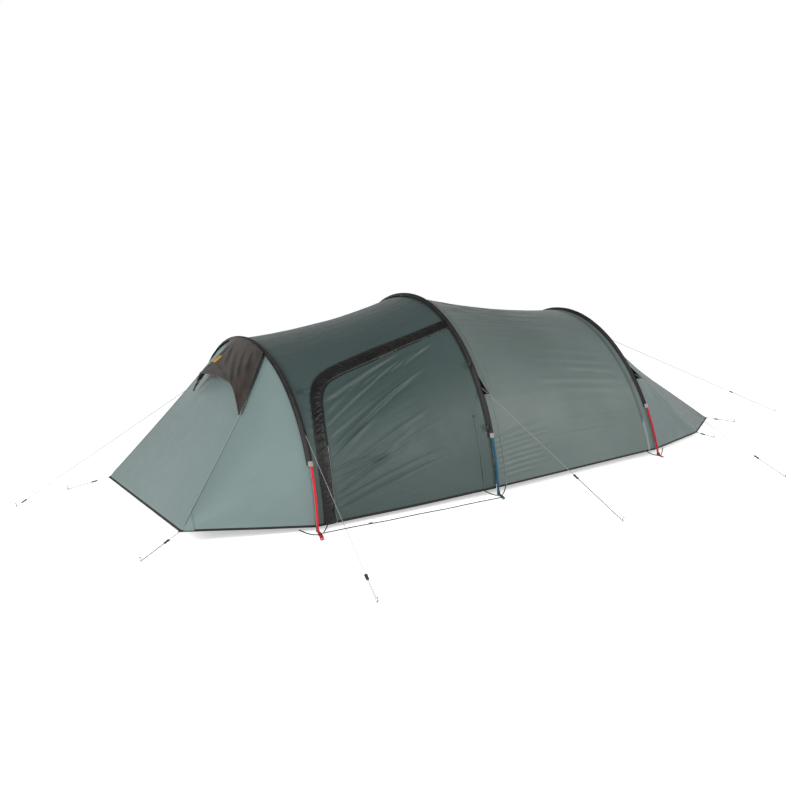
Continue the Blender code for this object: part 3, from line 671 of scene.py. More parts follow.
def coated_oxford(name, dark, light, shine=0.55):
    """Polyurethane-coated polyester oxford: a plain weave just coarse enough to see,
    near black with browner worn high spots."""
    material, tree, shader = new_material(name, IOR=1.5, Specular_IOR_Level=0.22)
    at = add_node(tree, "TexCoord").outputs["UV"]
    # The real weave is 0.6 mm; it is drawn at 3 mm so that it shows close up.
    warp = add_node(tree, "TexWave", {"Vector": at, "Scale": 1 / 0.003 / 6.283}, bands_direction="X")
    weft = add_node(tree, "TexWave", {"Vector": at, "Scale": 1 / 0.003 / 6.283}, bands_direction="Y")
    weave = add_node(tree, "Math", {0: warp.outputs["Fac"], 1: weft.outputs["Fac"]}, operation="MULTIPLY")
    wear = add_node(tree, "TexNoise", {"Vector": at, "Scale": 1 / 0.08, "Detail": 3, "Roughness": 0.5})
    colour = add_node(tree, "ValToRGB", {"Fac": wear.outputs["Fac"]})
    colour.color_ramp.elements[0].position, colour.color_ramp.elements[1].position = 0.38, 0.75
    colour.color_ramp.elements[0].color, colour.color_ramp.elements[1].color = linear(dark), linear(light)
    dull = add_node(tree, "MapRange", {"Value": wear.outputs["Fac"], "To Min": shine - 0.15,
                                       "To Max": shine + 0.15})
    fine = add_node(tree, "Bump", {"Height": weave.outputs["Value"], "Strength": 0.3, "Distance": 0.0006})
    soft = add_node(tree, "Bump", {"Height": wear.outputs["Fac"], "Strength": 0.18, "Distance": 0.003,
                                   "Normal": fine.outputs["Normal"]})
    tree.links.new(colour.outputs["Color"], shader.inputs["Base Color"])
    tree.links.new(dull.outputs["Result"], shader.inputs["Roughness"])
    tree.links.new(soft.outputs["Normal"], shader.inputs["Normal"])
    return material


black_oxford = coated_oxford("black_coated_oxford", "#0C0B0B", "#1D1A18")
# The door's darker colour is painted shade, as on the porch roof.
door = bake_thickness(cloth("cloth_outer_door", [(190, 120, door_cloth)],
                            coated_ripstop("grey_green_ripstop_painted_shade_door", "#2B3836", "#313F3D")))
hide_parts("outer_door")
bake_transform(door)

flap = cloth("cloth_storm_flap", [(360, 14, flap_cloth)],
             coated_oxford("black_crinkled_flap", "#090808", "#151311", 0.45),
             thickness=0.0010)
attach(flap, "tent")
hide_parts("storm_flap")

zip_coil = moulded_nylon("black_nylon_zip_coil", "#0F0F0F", "#262626")
zip_line = []
for i in range(79):
    s, arc = round_line(DOOR_EDGE, i / 78)
    zip_line.append(bay_at(0, min(max(s - 0.004, 0.0), 0.975), min(max(arc, 0.004) + 0.003, 1.0), 0.0005))
coil = lay_cord("coil_door_zip", zip_line, 0.0022, zip_coil)
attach(coil, "tent")

slider_low, slider_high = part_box("door_zip_slider")
slider_mid = (slider_low + slider_high) / 2
bm = bmesh.new()
bmesh.ops.create_cube(bm, size=1.0)
bmesh.ops.scale(bm, verts=bm.verts, vec=(0.011, 0.006, 0.013))
bmesh.ops.bevel(bm, geom=bm.edges[:], offset=0.0015, offset_type="OFFSET", segments=3, profile=0.5,
                affect="EDGES", material=-1)
bmesh.ops.translate(bm, verts=bm.verts, vec=slider_mid + Vector((0, 0, 0.008)))
pull = bmesh.ops.create_cube(bm, size=1.0)["verts"]
bmesh.ops.scale(bm, verts=pull, vec=(0.008, 0.0025, 0.022))
bmesh.ops.bevel(bm, geom=list({e for v in pull for e in v.link_edges}), offset=0.001, offset_type="OFFSET",
                segments=2, profile=0.5, affect="EDGES", material=-1)
pull = [v for v in bm.verts if v.co.length < 0.05]
bmesh.ops.translate(bm, verts=pull, vec=slider_mid + Vector((0, -0.0025, -0.006)))
slider = finished_object("pull_door_zip", bm, zip_coil)
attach(slider, "door_zip")
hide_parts("door_zip_slider")

# ---- Pole sleeves, cuffs and guy tabs -------------------------------------------------
# Flat tunnels of black coated oxford, sewn down on both flanges over the fly seams. A
# light cuff closes each end, and a webbing strap runs down the bare pole to the foot.
SLEEVE_PROFILE = ((-0.021, -0.0098), (-0.0165, -0.0085), (-0.0085, -0.002), (-0.0045, 0.0055), (0, 0.0075),
                  (0.0045, 0.0055), (0.0085, -0.002), (0.0165, -0.0085), (0.021, -0.0098))


def sleeve_cloth(k, low_arc, high_arc, wide=1.0):
    def place(u, v):
        arc = low_arc + (high_arc - low_arc) * v
        on = hoop_at(k, arc_t(k, arc))
        across, up = round_line(SLEEVE_PROFILE, u)
        pucker = 0.0012 * rumple(u * 0.06, v * 30, 1.0, 40 + k) * (1 if abs(u - 0.5) > 0.2 else 0.4)
        return on + Vector((across * wide, 0, 0)) + outward_from(on) * (up + pucker), (u * 0.05, v * 2.3)
    return place


def sleeve_lining(k, low_arc, high_arc, wide):
    def place(u, v):
        on = hoop_at(k, arc_t(k, low_arc + (high_arc - low_arc) * v))
        return on + Vector((0.042 * (u - 0.5) * wide, 0, 0)) - outward_from(on) * 0.0100, (u * 0.05,
                v * 2.3)
    return place


for k, which in enumerate(("front", "middle", "rear")):
    wide = 0.86 if k != 1 else 1.0
    tunnel = cloth("tunnel_" + which, [(16, 190, sleeve_cloth(k, LOW, 1 - LOW, wide)),
                                       (4, 190, sleeve_lining(k, LOW, 1 - LOW, wide))],
                   black_oxford, thickness=0.0006)
    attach(tunnel, "tent")
    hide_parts("sleeve_" + which)

def lathed(name, profile, centre, along, wide, material, steps=24):
    """A closed ring profile (radius, height) turned round an axis, wide times broader."""
    bm = bmesh.new()
    rim = [bm.verts.new((r, 0, z)) for r, z in profile]
    edges = [bm.edges.new((rim[i], rim[(i + 1) % len(rim)])) for i in range(len(rim))]
    bmesh.ops.spin(bm, geom=rim + edges, cent=(0, 0, 0), axis=(0, 0, 1), angle=math.tau, steps=steps,
                   use_merge=True)
    bmesh.ops.remove_doubles(bm, verts=bm.verts, dist=1e-5)
    bmesh.ops.recalc_face_normals(bm, faces=bm.faces)
    side = along.cross(Vector((0, 1, 0))).normalized()
    turn = Matrix((side * wide, along.cross(side), along)).transposed().to_4x4()
    bmesh.ops.transform(bm, matrix=Matrix.Translation(centre) @ turn, verts=bm.verts)
    return finished_object(name, bm, material)


def woven_webbing(name, dark, light):
    """Woven polyester webbing: strong cross ribs and a dull sheen."""
    material, tree, shader = new_material(name, Specular_IOR_Level=0.25, Roughness=0.72)
    at = add_node(tree, "TexCoord").outputs["UV"]
    # The real ribs are 1 mm apart; they are drawn at 3 mm so that they show.
    ribs = add_node(tree, "TexWave", {"Vector": at, "Scale": 1 / 0.003 / 6.283, "Distortion": 0.6},
                    bands_direction="Y")
    colour = add_node(tree, "ValToRGB", {"Fac": ribs.outputs["Fac"]})
    colour.color_ramp.elements[0].color, colour.color_ramp.elements[1].color = linear(dark), linear(light)
    bump = add_node(tree, "Bump", {"Height": ribs.outputs["Fac"], "Strength": 0.6, "Distance": 0.0008})
    tree.links.new(colour.outputs["Color"], shader.inputs["Base Color"])
    tree.links.new(bump.outputs["Normal"], shader.inputs["Normal"])
    return material


def on_body(obj, body="tent"):
    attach(obj, body)
    return obj


cuff_cloth = woven_webbing("pale_bound_cuff_webbing", "#76726E", "#9C9894")
black_webbing = woven_webbing("black_polyester_webbing", "#0E0E0E", "#2A2826")
strap_webbing = {
    "front": woven_webbing("red_polyester_webbing", "#9A0710", "#C01420"),
    "middle": woven_webbing("blue_polyester_webbing", "#063449", "#0B4A62"),
    "rear": woven_webbing("dark_red_polyester_webbing", "#7E0A14", "#A01420"),
}
CUFF_RING = ((0.0058, -0.013), (0.0070, -0.014), (0.0080, -0.012), (0.0083, 0.0), (0.0080, 0.012),
             (0.0070, 0.014), (0.0058, 0.013))
FOOT_RING = ((0.0050, -0.010), (0.0072, -0.011), (0.0080, -0.008), (0.0076, 0.012), (0.0066, 0.016),
             (0.0050, 0.015))
STRAP_REACH = ((0.143, 0.041), (0.103, 0.037), (0.062, 0.020))   # out from the foot, and forward


def foot_strap(k, far):
    """Webbing from the cuff down the outside of the bare pole, then out along the ground."""
    half = HOOPS[k][1]
    sign = 1 if far else -1
    path = []
    for i in range(15):
        z = 0.348 - (0.348 - 0.030) * i / 14
        t = hoop_t(k, z)
        on = hoop_at(k, 1 - t if far else t)
        path.append(on + outward_from(on, 0.0 if z < 0.2 else 0.25) * 0.0068)
    reach, forward = STRAP_REACH[k]
    for y, z in ((0.0112, 0.020), (0.0126, 0.010), (0.0160, 0.0042), (0.0240, 0.0022)):
        path.append(Vector((HOOPS[k][0] + ROW_X, sign * (half + y), z)))
    for q, z in ((0.2, 0.0024), (0.4, 0.0050), (0.6, 0.0062), (0.8, 0.0040), (1.0, 0.0020)):
        path.append(Vector((HOOPS[k][0] + ROW_X - forward * q,
                            sign * (half + 0.024 + (reach - 0.024) * q), z)))

    def place(u, v):
        centre = Vector(round_line([tuple(p) for p in path], v))
        wide = 0.0095 + 0.0115 * smooth_step(0.66, 0.80, v)
        return centre + Vector((wide * (u - 0.5), 0, 0)), (u * wide, v * 0.49)
    return [(4, 90, place)]


for k, which in enumerate(("front", "middle", "rear")):
    for far, where in ((False, "near"), (True, "far")):
        sign = 1 if far else -1
        at = lambda z: hoop_at(k, 1 - hoop_t(k, z) if far else hoop_t(k, z))
        cuff_along = (at(0.37) - at(0.33)).normalized()
        on_body(lathed(f"cuff_{which}_{where}", CUFF_RING, at(0.345), cuff_along, 1.7, cuff_cloth))
        on_body(lathed(f"foot_cup_{which}_{where}", FOOT_RING, at(0.013), Vector((0, 0, 1)), 1.0,
                       runner_nylon))
        strap = cloth(f"strap_{which}_{where}", foot_strap(k, far), strap_webbing[which], thickness=0.0014,
                      look_from=(HOOPS[k][0] + ROW_X, sign * (HOOPS[k][1] - 0.3), 0.2))
        on_body(strap)
        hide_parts(f"foot_strap_{which}_{where}")
        reach, forward = STRAP_REACH[k]
        ring_at = Vector((HOOPS[k][0] + ROW_X - forward * 0.9, sign * (HOOPS[k][1] + reach * 0.92), 0.0052))
        eyelet = [ring_at + Vector((0.0080 * math.cos(a), 0.0080 * math.sin(a), 0)) for a in
                  [math.tau * i / 20 for i in range(20)]]
        on_body(lay_cord(f"eyelet_{which}_{where}", eyelet, 0.0013, peg_metal, closed=True))
        # Black shock cord from the hem on each side down to the strap keeps the hem low.
        foot = Vector((HOOPS[k][0] + ROW_X - forward * 0.45, sign * (HOOPS[k][1] + reach * 0.5), 0.0085))
        for n, dx in enumerate((-0.100, 0.060)):
            hem = hoop_at(k, arc_t(k, 1.0 if far else 0.0), FABRIC_INSET)
            hem = Vector((hem.x + dx, hem.y + sign * 0.0035, hem.z - 0.002))
            cord_run = [hem.lerp(foot, i / 14) - Vector((0, 0,
                    0.010 * math.sin(math.pi * i / 14))) for i in range(15)]
            cord_run = [Vector((p.x, p.y, max(p.z, 0.0020))) for p in cord_run]
            loop = cord_run + [p + Vector((0.0045, 0, 0.0012)) for p in reversed(cord_run)]
            on_body(lay_cord(f"hem_loop_{which}_{where}_{n + 1}", loop, 0.0016, black_webbing, closed=True))
        if which != "front":
            start = guy_starts[f"{which}_{where}"]
            t = dict((g[0], g[2]) for g in SIDE_GUYS)[which]

            peg = dict((g[0], g[4] if far else g[3]) for g in SIDE_GUYS)[which]
            pull = (Vector((peg[0] + ROW_X, peg[1], CORD_END_Z)) - start).normalized()

            def tab(u, v, k=k, t=t, far=far, start=start, pull=pull):
                turn = t - 0.010 + 0.034 * u
                on = hoop_at(k, 1 - turn if far else turn)
                base = on + Vector((0.017, 0, 0)) + outward_from(on) * -0.0070
                tip = start + pull * 0.062 + Vector((0.008 * (u - 0.5), 0, 0.003))
                return base.lerp(tip, v), (u * 0.09, v * 0.09)
            on_body(cloth(f"guy_tab_{which}_{where}", [(10, 10, tab)], black_oxford, thickness=0.0010))

# Bow ties that hold the rolled door back to the middle hoop, with a small toggle each.
for n, height_at in enumerate((0.745, 0.395)):
    t = hoop_t(1, height_at)
    on = hoop_at(1, t)
    out = outward_from(on)
    upward_on = (hoop_at(1, t + 0.01) - on).normalized()
    knot = on + Vector((-0.022, 0, 0)) + out * 0.003
    for m, (reach, rise) in enumerate(((-0.022, 0.018), (-0.020, -0.020))):
        bow = [knot + Vector((reach * math.sin(a / 2) ** 2, 0,
                              0)) + upward_on * (rise * math.sin(a / 2) ** 2
               + 0.006 * math.sin(a)) + out * 0.003 * math.sin(a) ** 2 for a in
               [math.tau * i / 24 for i in range(24)]]
        on_body(lay_cord(f"door_tie_{n + 1}_{m + 1}", bow, 0.0016, black_webbing, closed=True))
    on_body(lathed(f"door_tie_toggle_{n + 1}",
                   ((0.0006, -0.009), (0.0030, -0.010), (0.0036, -0.006), (0.0036, 0.006),
                                                (0.0030, 0.010), (0.0006, 0.009)),
                   knot + out * 0.002, upward_on, 1.0, runner_nylon, 16))

# ---- Seams and hem binding ------------------------------------------------------------
# Lap-felled seams of the fly's own cloth where panels join, and a black polyester tape folded over the raw hem all
# the way round. Both are sewn with two rows of stitches, which are not drawn.


def sewn_tape(surface, line, width, long, rows, lift=0.0008):
    """A narrow tape on a cloth: surface is the cloth's function, line gives its (u, v)."""
    def on(q):
        u, v = line(min(max(q, 0.0), 1.0))
        return surface(min(max(u, 0.0), 1.0), min(max(v, 0.0), 1.0))[0]

    def place(a, b):
        u, v = line(b)
        p = on(b)
        du = surface(min(u + 0.004, 1), v)[0] - surface(max(u - 0.004, 0), v)[0]
        dv = surface(u, min(v + 0.004, 1))[0] - surface(u, max(v - 0.004, 0))[0]
        out = du.cross(dv)
        out = out.normalized() if out.length > 1e-9 else outward_from(p)
        if out.dot(outward_from(p, 0.1)) < 0:
            out = -out
        run = on(b + 0.01) - on(b - 0.01)
        across = out.cross(run).normalized()
        return p + across * width * (a - 0.5) + out * (lift + 0.0006 * math.sin(math.pi * a)), (a * width, b * long)
    return (4, rows, place)


binding_tape = woven_webbing("black_polyester_binding_tape", "#0C0B0A", "#1E1B18")
# The seam strips copy the fly fabric in the colour of the panels they lie on, so they carry the same painted light
# and shade: the front copy lighter as painted light, the rear and door copies darker as painted shade.
painted_lit_seam_cloth = coated_ripstop("grey_green_ripstop_seam_painted_lit", "#5A6867", "#62716F")
painted_shade_seam_cloth = coated_ripstop("grey_green_ripstop_seam_painted_shade_rear", "#4A5552", "#545F5C")
painted_shade_door_seam_cloth = coated_ripstop("grey_green_ripstop_seam_painted_shade_door", "#303D3B", "#374543")
painted_shade_band_cloth = coated_ripstop("grey_green_ripstop_painted_shade_band", "#343E3D", "#3C4645")
for name, patches, material, slot in (
    ("seam_front_tail", [sewn_tape(front_tail_cloth, lambda q: (0.97 * q, 10 / 26), 0.016, 1.0, 60),
                         sewn_tape(front_tail_cloth, lambda q: (0.97 * q, 16 / 26), 0.016, 1.0, 60)],
     painted_lit_seam_cloth, "fly_front_tail"),
    ("seam_rear_tail", [sewn_tape(rear_tail_cloth, lambda q: (0.97 * q, 8 / 26), 0.012, 1.2, 60),
                        sewn_tape(rear_tail_cloth, lambda q: (0.97 * q, 18 / 26), 0.012, 1.2, 60)],
     painted_shade_seam_cloth, "fly_rear_tail"),
    ("seam_rear_bay", [sewn_tape(rear_bay_cloth, lambda q: (0.052, q), 0.012, 2.6, 160)],
     painted_shade_seam_cloth, "fly_rear_bay"),
    # This dark band by the rear hoop is not a seam: it is painted shade where no inner tent lies behind the cloth,
    # and the two short strips at its ends below are the lighter seam copy, as painted light.
    ("painted_shade_band_rear_bay", [sewn_tape(rear_bay_cloth, lambda q: (0.952, 0.10 + 0.80 * q), 0.022, 2.2, 150)],
     painted_shade_band_cloth, "fly_rear_bay"),
    ("band_foot_rear_bay", [sewn_tape(rear_bay_cloth, lambda q: (0.955, 0.11 * q), 0.020, 0.2, 20),
                            sewn_tape(rear_bay_cloth, lambda q: (0.955, 1 - 0.11 * q), 0.020, 0.2, 20)],
     painted_lit_seam_cloth, "fly_rear_bay"),
    ("binding_front_tail", [sewn_tape(front_tail_cloth, lambda q: (q, 0), 0.012, 0.7, 50, 0.0),
                            sewn_tape(front_tail_cloth, lambda q: (1, (10 + 6 * q) / 26), 0.012,
                                      1.5, 80, 0.0),
                            sewn_tape(front_tail_cloth, lambda q: (q, 1), 0.012, 0.7, 50, 0.0)],
     binding_tape, "fly_front_tail"),
    ("binding_front_bay", [sewn_tape(front_bay_near, lambda q: (0, q), 0.012, 0.1, 12, 0.0),
                           sewn_tape(front_bay_far, lambda q: (q, 1), 0.012, 1.1, 60, 0.0)],
     binding_tape, "fly_front_bay"),
    ("binding_rear_bay", [sewn_tape(rear_bay_cloth, lambda q: (q, 0), 0.012, 1.4, 90, 0.0),
                          sewn_tape(rear_bay_cloth, lambda q: (q, 1), 0.012, 1.4, 90, 0.0)],
     binding_tape, "fly_rear_bay"),
    ("binding_rear_tail", [sewn_tape(rear_tail_cloth, lambda q: (q, 0), 0.012, 0.8, 60, 0.0),
                           sewn_tape(rear_tail_cloth, lambda q: (1, (8 + 10 * q) / 26), 0.012, 1.7,
                                     90, 0.0),
                           sewn_tape(rear_tail_cloth, lambda q: (q, 1), 0.012, 0.8, 60, 0.0)],
     binding_tape, "fly_rear_tail"),
):
    on_body(cloth(name, patches, material, thickness=0.0010))


def door_hem(q):
    s = 0.104 + 0.89 * q
    sag = 0.012 * math.sin(math.pi * q) ** 2
    return bay_at(0, s, 0.0) + Vector((0, 0, -sag * 0.3))


def door_binding(u, v):
    p = door_hem(v)
    return p + Vector((0, -0.0016 - 0.0008 * math.sin(math.pi * u), (u - 0.5) * 0.013)), (u * 0.013,
            v * 1.05)


binding = bake_thickness(cloth("binding_outer_door", [(4, 90, door_binding)], binding_tape,
                               thickness=0.0016))
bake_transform(binding)


def door_seam(u, v):
    s, arc = 0.925, 0.002 + 0.185 * v
    p = bay_at(0, s, arc, 0.0022 + 0.0006 * math.sin(math.pi * u))
    return p + Vector(((u - 0.5) * 0.012, 0, 0)), (u * 0.012, v * 0.5)


seam = bake_thickness(cloth("seam_outer_door", [(4, 40, door_seam)], painted_shade_door_seam_cloth, thickness=0.0010))
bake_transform(seam)

# Corner patches of the fly's ripstop, in its lighter copy that is painted light, under the corner guys, and the
# webbing tabs they tie to.
for name, surface, u_at, v_at, spread in (
    ("front_near", front_tail_cloth, 1, 0.19, 0.19), ("front_far", front_tail_cloth, 1, 0.81, 0.19)):
    def patch(u, v, surface=surface, v_at=v_at, spread=spread):
        p = surface(0.90 + 0.095 * u, v_at + spread * (v - 0.5) * 2)[0]
        return p + (p - Vector((HOOPS[0][0] + ROW_X + 0.3, 0,
                                0.2))).normalized() * 0.0012, (u * 0.08, v * 0.10)
    on_body(cloth("corner_patch_" + name, [(6, 16, patch)], painted_lit_seam_cloth, thickness=0.0008))
for name, corner, peg in CORNER_GUYS:
    base = Vector((corner[0] + ROW_X, corner[1], corner[2]))
    out = (guy_starts[name] - base).normalized()
    side = out.cross(Vector((0, 0, 1))).normalized()

    def tab(u, v, base=base, out=out, side=side):
        return base - out * 0.020 + out * 0.030 * v + side * 0.020 * (u - 0.5) + Vector((0, 0,
                0.0012)), (u * 0.02, v * 0.03)
    on_body(cloth("tab_" + name, [(4, 6, tab)], black_webbing, thickness=0.0014,
                  look_from=base - Vector((0, 0, 1))))

# ---- Porch straps ---------------------------------------------------------------------
# Black 10 mm polyester tape between the front and middle feet on each side; it keeps the
# porch end from spreading and carries one small ladder buckle.
for sign, where in ((-1, "near"), (1, "far")):
    x0, x1, y0 = HOOPS[0][0] + ROW_X + 0.012, HOOPS[1][0] + ROW_X - 0.012, sign * 0.990
    route = [(x0 + (x1 - x0) * i / 30, y0 + 0.006 * math.sin(math.pi * i / 30) * sign,
              0.0030 + 0.0022 * abs(math.sin(math.pi * i / 10))) for i in range(31)]

    def strap_place(u, v, route=route):
        centre = Vector(round_line(route, v))
        return centre + Vector((0, (u - 0.5) * 0.0095, 0.0004)), (u * 0.0095, v * 1.14)
    strap = cloth("strap_porch_" + where, [(4, 90, strap_place)], black_webbing, thickness=0.0016,
                  look_from=(-1.1, y0, -1))
    bead_at = Vector(round_line(route, 0.24)) + Vector((0, 0, 0.001))
    bead = lathed("buckle_porch_" + where, ((0.0022, -0.009), (0.0042, -0.010), (0.0050, -0.007),
                                            (0.0046, 0.0),
                                           (0.0050, 0.007), (0.0042, 0.010), (0.0022, 0.009)),
                  bead_at + Vector((0, 0, 0.0012)), Vector((1, 0, 0)), 0.8, runner_nylon)
    on_body(strap)
    on_body(bead)
    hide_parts("porch_strap_" + where)

# ---- Vent hood ------------------------------------------------------------------------
# A stiffened black hood over the porch end's vent: coated oxford sewn behind the front
# hoop, with a spring wire in its rolled front edge and a pointed ear on each side.
HOOD_FRONT = ((-1.387, -.532, .585), (-1.365, -.400, .716), (-1.370, -.280, .751), (-1.383, -.140, .767),
              (-1.403, 0, .765), (-1.392, .060, .752), (-1.385, .115, .728), (-1.383, .165, .690),
              (-1.390, .215, .640))
HOOD_BACK_Y = (-.370, -.285, -.190, -.095, 0, .030, .060, .090, .115)
hood_front = [(x + ROW_X, y, z) for x, y, z in HOOD_FRONT]
hood_back = []
for y in HOOD_BACK_Y:
    x0, half, high, lean = HOOPS[0]
    z = (high - 0.002) * (1 - (abs(y) / (half - 0.002)) ** HOOP_POWER) ** (1 / HOOP_POWER)
    hood_back.append((x0 + lean * z - 0.019 + ROW_X, y, z))


HOOD_FOLDS = ((.10, .30, .26, .05, .0060, .012), (.16, .30, .34, .10, .0050, .012),
              (.24, .29, .46, .20, .0055, .010),
              (.06, .22, .16, .04, .0050, .012), (.30, .28, .52, .26, .0040, .009),
              (.34, .20, .48, .02, .0045, .012),
              (.48, .28, .50, .03, .0040, .014), (.56, .27, .55, .03, .0035, .012))


def hood_cloth(u, v):
    front, back = Vector(round_line(hood_front, u)), Vector(round_line(hood_back, u))
    p = back.lerp(front, v)
    sag = math.sin(math.pi * v) * math.sin(math.pi * min(u * 1.6, 1.0))
    x, y = u * 0.95, v * 0.30
    fold = tension_folds(x, y, HOOD_FOLDS) + 0.0030 * rumple(x, y, 0.10, 52.0)
    return p + outward_from(p, 0.4) * (0.004 - 0.010 * sag + fold * smooth_step(0, 0.15, v)), (x, y)


def in_hood_blend(obj):
    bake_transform(obj)
    return obj


hood_oxford = coated_oxford("brown_black_coated_oxford", "#26221F", "#3B3530", 0.46)
hood = bake_thickness(cloth("cloth_vent_hood", [(72, 24, hood_cloth)], hood_oxford, thickness=0.0012))
in_hood_blend(hood)
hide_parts("vent_hood")


def hood_roll(u, v):
    """The hem rolled over the spring wire at the front."""
    centre = Vector(round_line(hood_front, v))
    ahead_on = (Vector(round_line(hood_front, min(v + 0.01, 1))) - Vector(round_line(hood_front,
            max(v - 0.01, 0))))
    ahead_on.normalize()
    first = ahead_on.cross(Vector((1, 0, 0.2))).normalized()
    second = ahead_on.cross(first)
    a = math.tau * u
    return centre + (first * math.cos(a) + second * math.sin(a)) * 0.0052, (u * 0.03, v * 1.2)


roll = cloth("roll_vent_hood", [(10, 90, hood_roll)], hood_oxford, thickness=0)
in_hood_blend(bake_thickness(roll))


def hood_patch(u, v):
    p, _ = hood_cloth(0.485 + 0.045 * (u - 0.5) * 1.2, 0.60 + 0.20 * (v - 0.5))
    return p + Vector((0, 0, 0.0016)), (u * 0.06, v * 0.05)


plain_patch = coated_oxford("plain_ochre_woven_patch", "#8A6A1E", "#B08A30", 0.6)
patch = bake_thickness(cloth("patch_vent_hood", [(8, 8, hood_patch)], plain_patch, thickness=0.0008))
in_hood_blend(patch)


def vent_mesh(u, v):
    p = tail_at(0, -1, FRONT_CORNER, None, 10, 0.03 + 0.13 * u, 0.40 + 0.12 * v, 0.0025)
    return p, (u * 0.12, v * 0.32)


def insect_mesh(name, dark, light):
    """Knitted insect mesh: black thread with a fine open look."""
    material, tree, shader = new_material(name, Roughness=0.8, Sheen_Weight=0.2)
    at = add_node(tree, "TexCoord").outputs["UV"]
    # The real holes are 1 mm; they are drawn at 4 mm so that they show close up.
    holes = add_node(tree, "TexVoronoi", {"Vector": at, "Scale": 1 / 0.004, "Randomness": 0.0})
    colour = add_node(tree, "ValToRGB", {"Fac": holes.outputs["Distance"]})
    colour.color_ramp.elements[0].color, colour.color_ramp.elements[1].color = linear(dark), linear(light)
    bump = add_node(tree, "Bump", {"Height": holes.outputs["Distance"], "Strength": 0.7,
                                   "Distance": 0.0010})
    tree.links.new(colour.outputs["Color"], shader.inputs["Base Color"])
    tree.links.new(bump.outputs["Normal"], shader.inputs["Normal"])
    return material


black_mesh = insect_mesh("black_knitted_insect_mesh", "#070707", "#1E1E1E")
on_body(cloth("mesh_front_vent", [(8, 60, vent_mesh)], black_mesh, thickness=0.0008))

# ---- Inner tent -----------------------------------------------------------------------
# A breathable polyester inner hung from the fly, with a dark coated tray floor and a
# D-shaped mesh-topped door to the porch that closes with a coil zip.
INNER = ((0.070, 0.720, 1.040), (0.550, 0.700, 0.990), (1.050, 0.660, 0.895),
         (1.400, 0.590, 0.790), (1.850, 0.420, 0.400), (1.960, 0.360, 0.110))
INNER_HEM_Z, INNER_DOOR_SIZE, DOOR_POWER = 0.0045, (0.420, 0.160, 0.880), 3.2


def arch_at(x, half, high, v):
    start = math.asin((INNER_HEM_Z / high) ** (HOOP_POWER / 2))
    w = start + (math.pi - 2 * start) * v
    c, s = math.cos(w), math.sin(w)
    return Vector((x + ROW_X, -half * math.copysign(abs(c) ** (2 / HOOP_POWER), c),
                   high * s ** (2 / HOOP_POWER)))


def inner_walls(u, v):
    x, half, high = along_line(INNER, u)
    hang = -0.010 * math.sin(math.pi * v) * (1 - math.cos(math.tau * u * 5)) * 0.5
    p = arch_at(x, half, high, v)
    away = outward_from(p, 0.2)
    return p + away * (hang - 0.004 * creases(x, v * 2.6, 80, 0.12, 0.6, 61)), (x, v * 2.6)


def inner_hole(w):
    half, sill, top = INNER_DOOR_SIZE
    c, s = math.cos(w), max(math.sin(w), 0.0)
    return Vector((INNER[0][0] + ROW_X, -half * math.copysign(abs(c) ** (2 / DOOR_POWER), c),
                   sill + (top - sill) * s ** (2 / DOOR_POWER)))


def inner_front(u, v):
    p = arch_at(*INNER[0], v).lerp(inner_hole(math.pi * v), u)
    return p, (p.y, p.z)


def inner_below_door(u, v):
    x, half, high = INNER[0]
    low = arch_at(x, half, high, 0).lerp(arch_at(x, half, high, 1), v)
    p = low.lerp(inner_hole(0).lerp(inner_hole(math.pi), v), u)
    return p, (p.y, p.z)


def inner_back(u, v):
    x, half, high = INNER[-1]
    p = arch_at(x, half, high, v)
    return Vector((p.x, p.y, p.z + (INNER_HEM_Z - p.z) * u)), (p.y, p.z)


def breathable_polyester():
    """Breathable woven polyester, pale and matt; below 12 cm it is the coated dark tray."""
    material, tree, shader = new_material("pale_breathable_polyester", Roughness=0.8, Sheen_Weight=0.25)
    at = add_node(tree, "TexCoord").outputs["Object"]
    weave = add_node(tree, "TexNoise", {"Vector": at, "Scale": 1 / 0.004, "Detail": 2})
    high = add_node(tree, "SeparateXYZ", {"Vector": at})
    tray = add_node(tree, "ValToRGB", {"Fac": high.outputs["Z"]})
    tray.color_ramp.interpolation = "CONSTANT"
    tray.color_ramp.elements[0].color = linear("#24282A")
    tray.color_ramp.elements[1].position, tray.color_ramp.elements[1].color = 0.12, linear("#C9C3B4")
    bump = add_node(tree, "Bump", {"Height": weave.outputs["Fac"], "Strength": 0.3, "Distance": 0.0010})
    tree.links.new(tray.outputs["Color"], shader.inputs["Base Color"])
    tree.links.new(bump.outputs["Normal"], shader.inputs["Normal"])
    return material


inner_cloth = breathable_polyester()
middle_of_inner = (0.4, 0, 0.3)
inner = cloth("cloth_inner_tent", [(100, 80, inner_walls), (12, 80, inner_front), (6, 40, inner_below_door),
                                   (4, 80, inner_back)], inner_cloth, thickness=0.0010,
              look_from=middle_of_inner)
on_body(inner)
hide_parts("inner_tent")


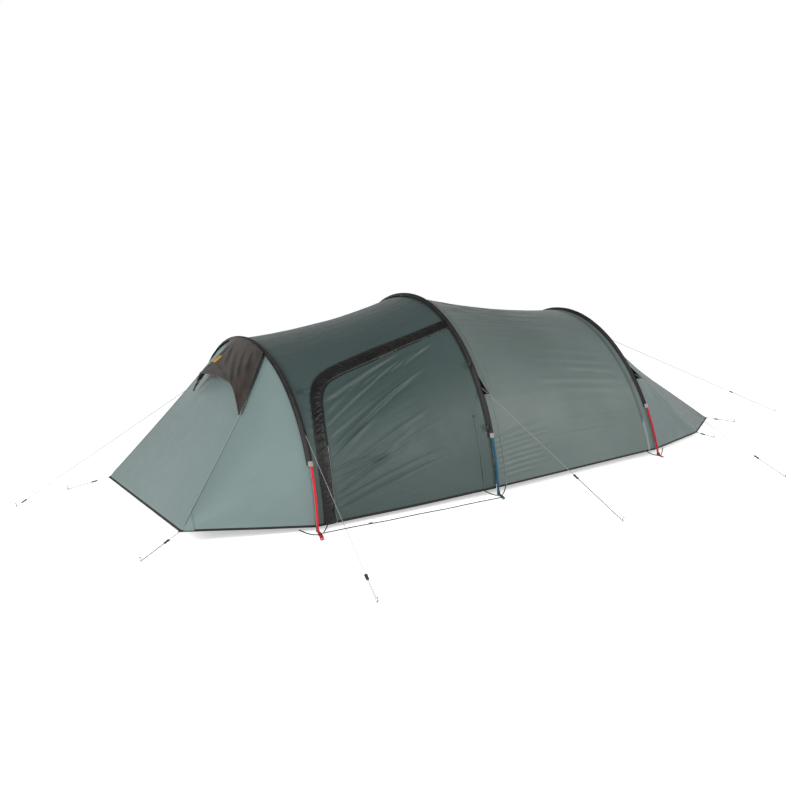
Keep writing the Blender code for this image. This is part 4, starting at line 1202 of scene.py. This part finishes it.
def inner_door_cloth(u, v):
    half, sill, top = INNER_DOOR_SIZE
    half, sill, top = half - 0.004, sill + 0.004, top - 0.004
    side = 2 * u - 1
    high = (top - sill) * max(1 - abs(side) ** DOOR_POWER, 0.0) ** (1 / DOOR_POWER)
    dent = 0.0010 * math.sin(math.pi * u) * math.sin(math.pi * v)
    return Vector((INNER[0][0] + ROW_X + dent, half * side, sill + high * v)), (side * half,
            sill + high * v)


panel = cloth("cloth_inner_door", [(60, 40, inner_door_cloth)], inner_cloth, thickness=0.0010,
              look_from=middle_of_inner)
on_body(panel, "inner_door")
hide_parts("inner_door")


def inner_mesh_top(u, v):
    p, flat = inner_door_cloth(0.12 + 0.76 * u, 0.55 + 0.40 * v)
    return p - Vector((0.0016, 0, 0)), flat


on_body(cloth("mesh_inner_door", [(40, 20, inner_mesh_top)], black_mesh, thickness=0.0008,
              look_from=middle_of_inner), "inner_door")
inner_zip = [inner_hole(math.pi * i / 60) - Vector((0.0022, 0, 0)) for i in range(61)]
on_body(lay_cord("coil_inner_zip", inner_zip, 0.0018, zip_coil))
low_corner, high_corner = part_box("inner_zip_slider")
bm = bmesh.new()
bmesh.ops.create_cube(bm, size=1.0)
bmesh.ops.scale(bm, verts=bm.verts, vec=(0.007, 0.011, 0.026))
bmesh.ops.bevel(bm, geom=bm.edges[:], offset=0.0018, offset_type="OFFSET", segments=3, profile=0.5,
                affect="EDGES", material=-1)
bmesh.ops.translate(bm, verts=bm.verts, vec=(low_corner + high_corner) / 2)
inner_slider = finished_object("pull_inner_zip", bm, zip_coil)
on_body(inner_slider, "inner_zip")
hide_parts("inner_zip_slider")

# ---- Groundsheet ----------------------------------------------------------------------
# A dark coated nylon floor laid flat under the inner tent.


def floor_cloth(u, v):
    x, half, _ = along_line(INNER, u)
    x += 0.010 * (1 - 2 * u)
    return Vector((x + ROW_X, (half - 0.012) * (2 * v - 1),
                   0.0024 + 0.0005 * rumple(x, v, 0.2, 70))), (x, v * 1.4)


ground = cloth("cloth_groundsheet", [(50, 30, floor_cloth)],
               coated_oxford("dark_coated_nylon_floor", "#1D2224", "#2B3134", 0.5), thickness=0.0016,
               look_from=(0.4, 0, -5))
on_body(ground)
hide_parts("groundsheet")
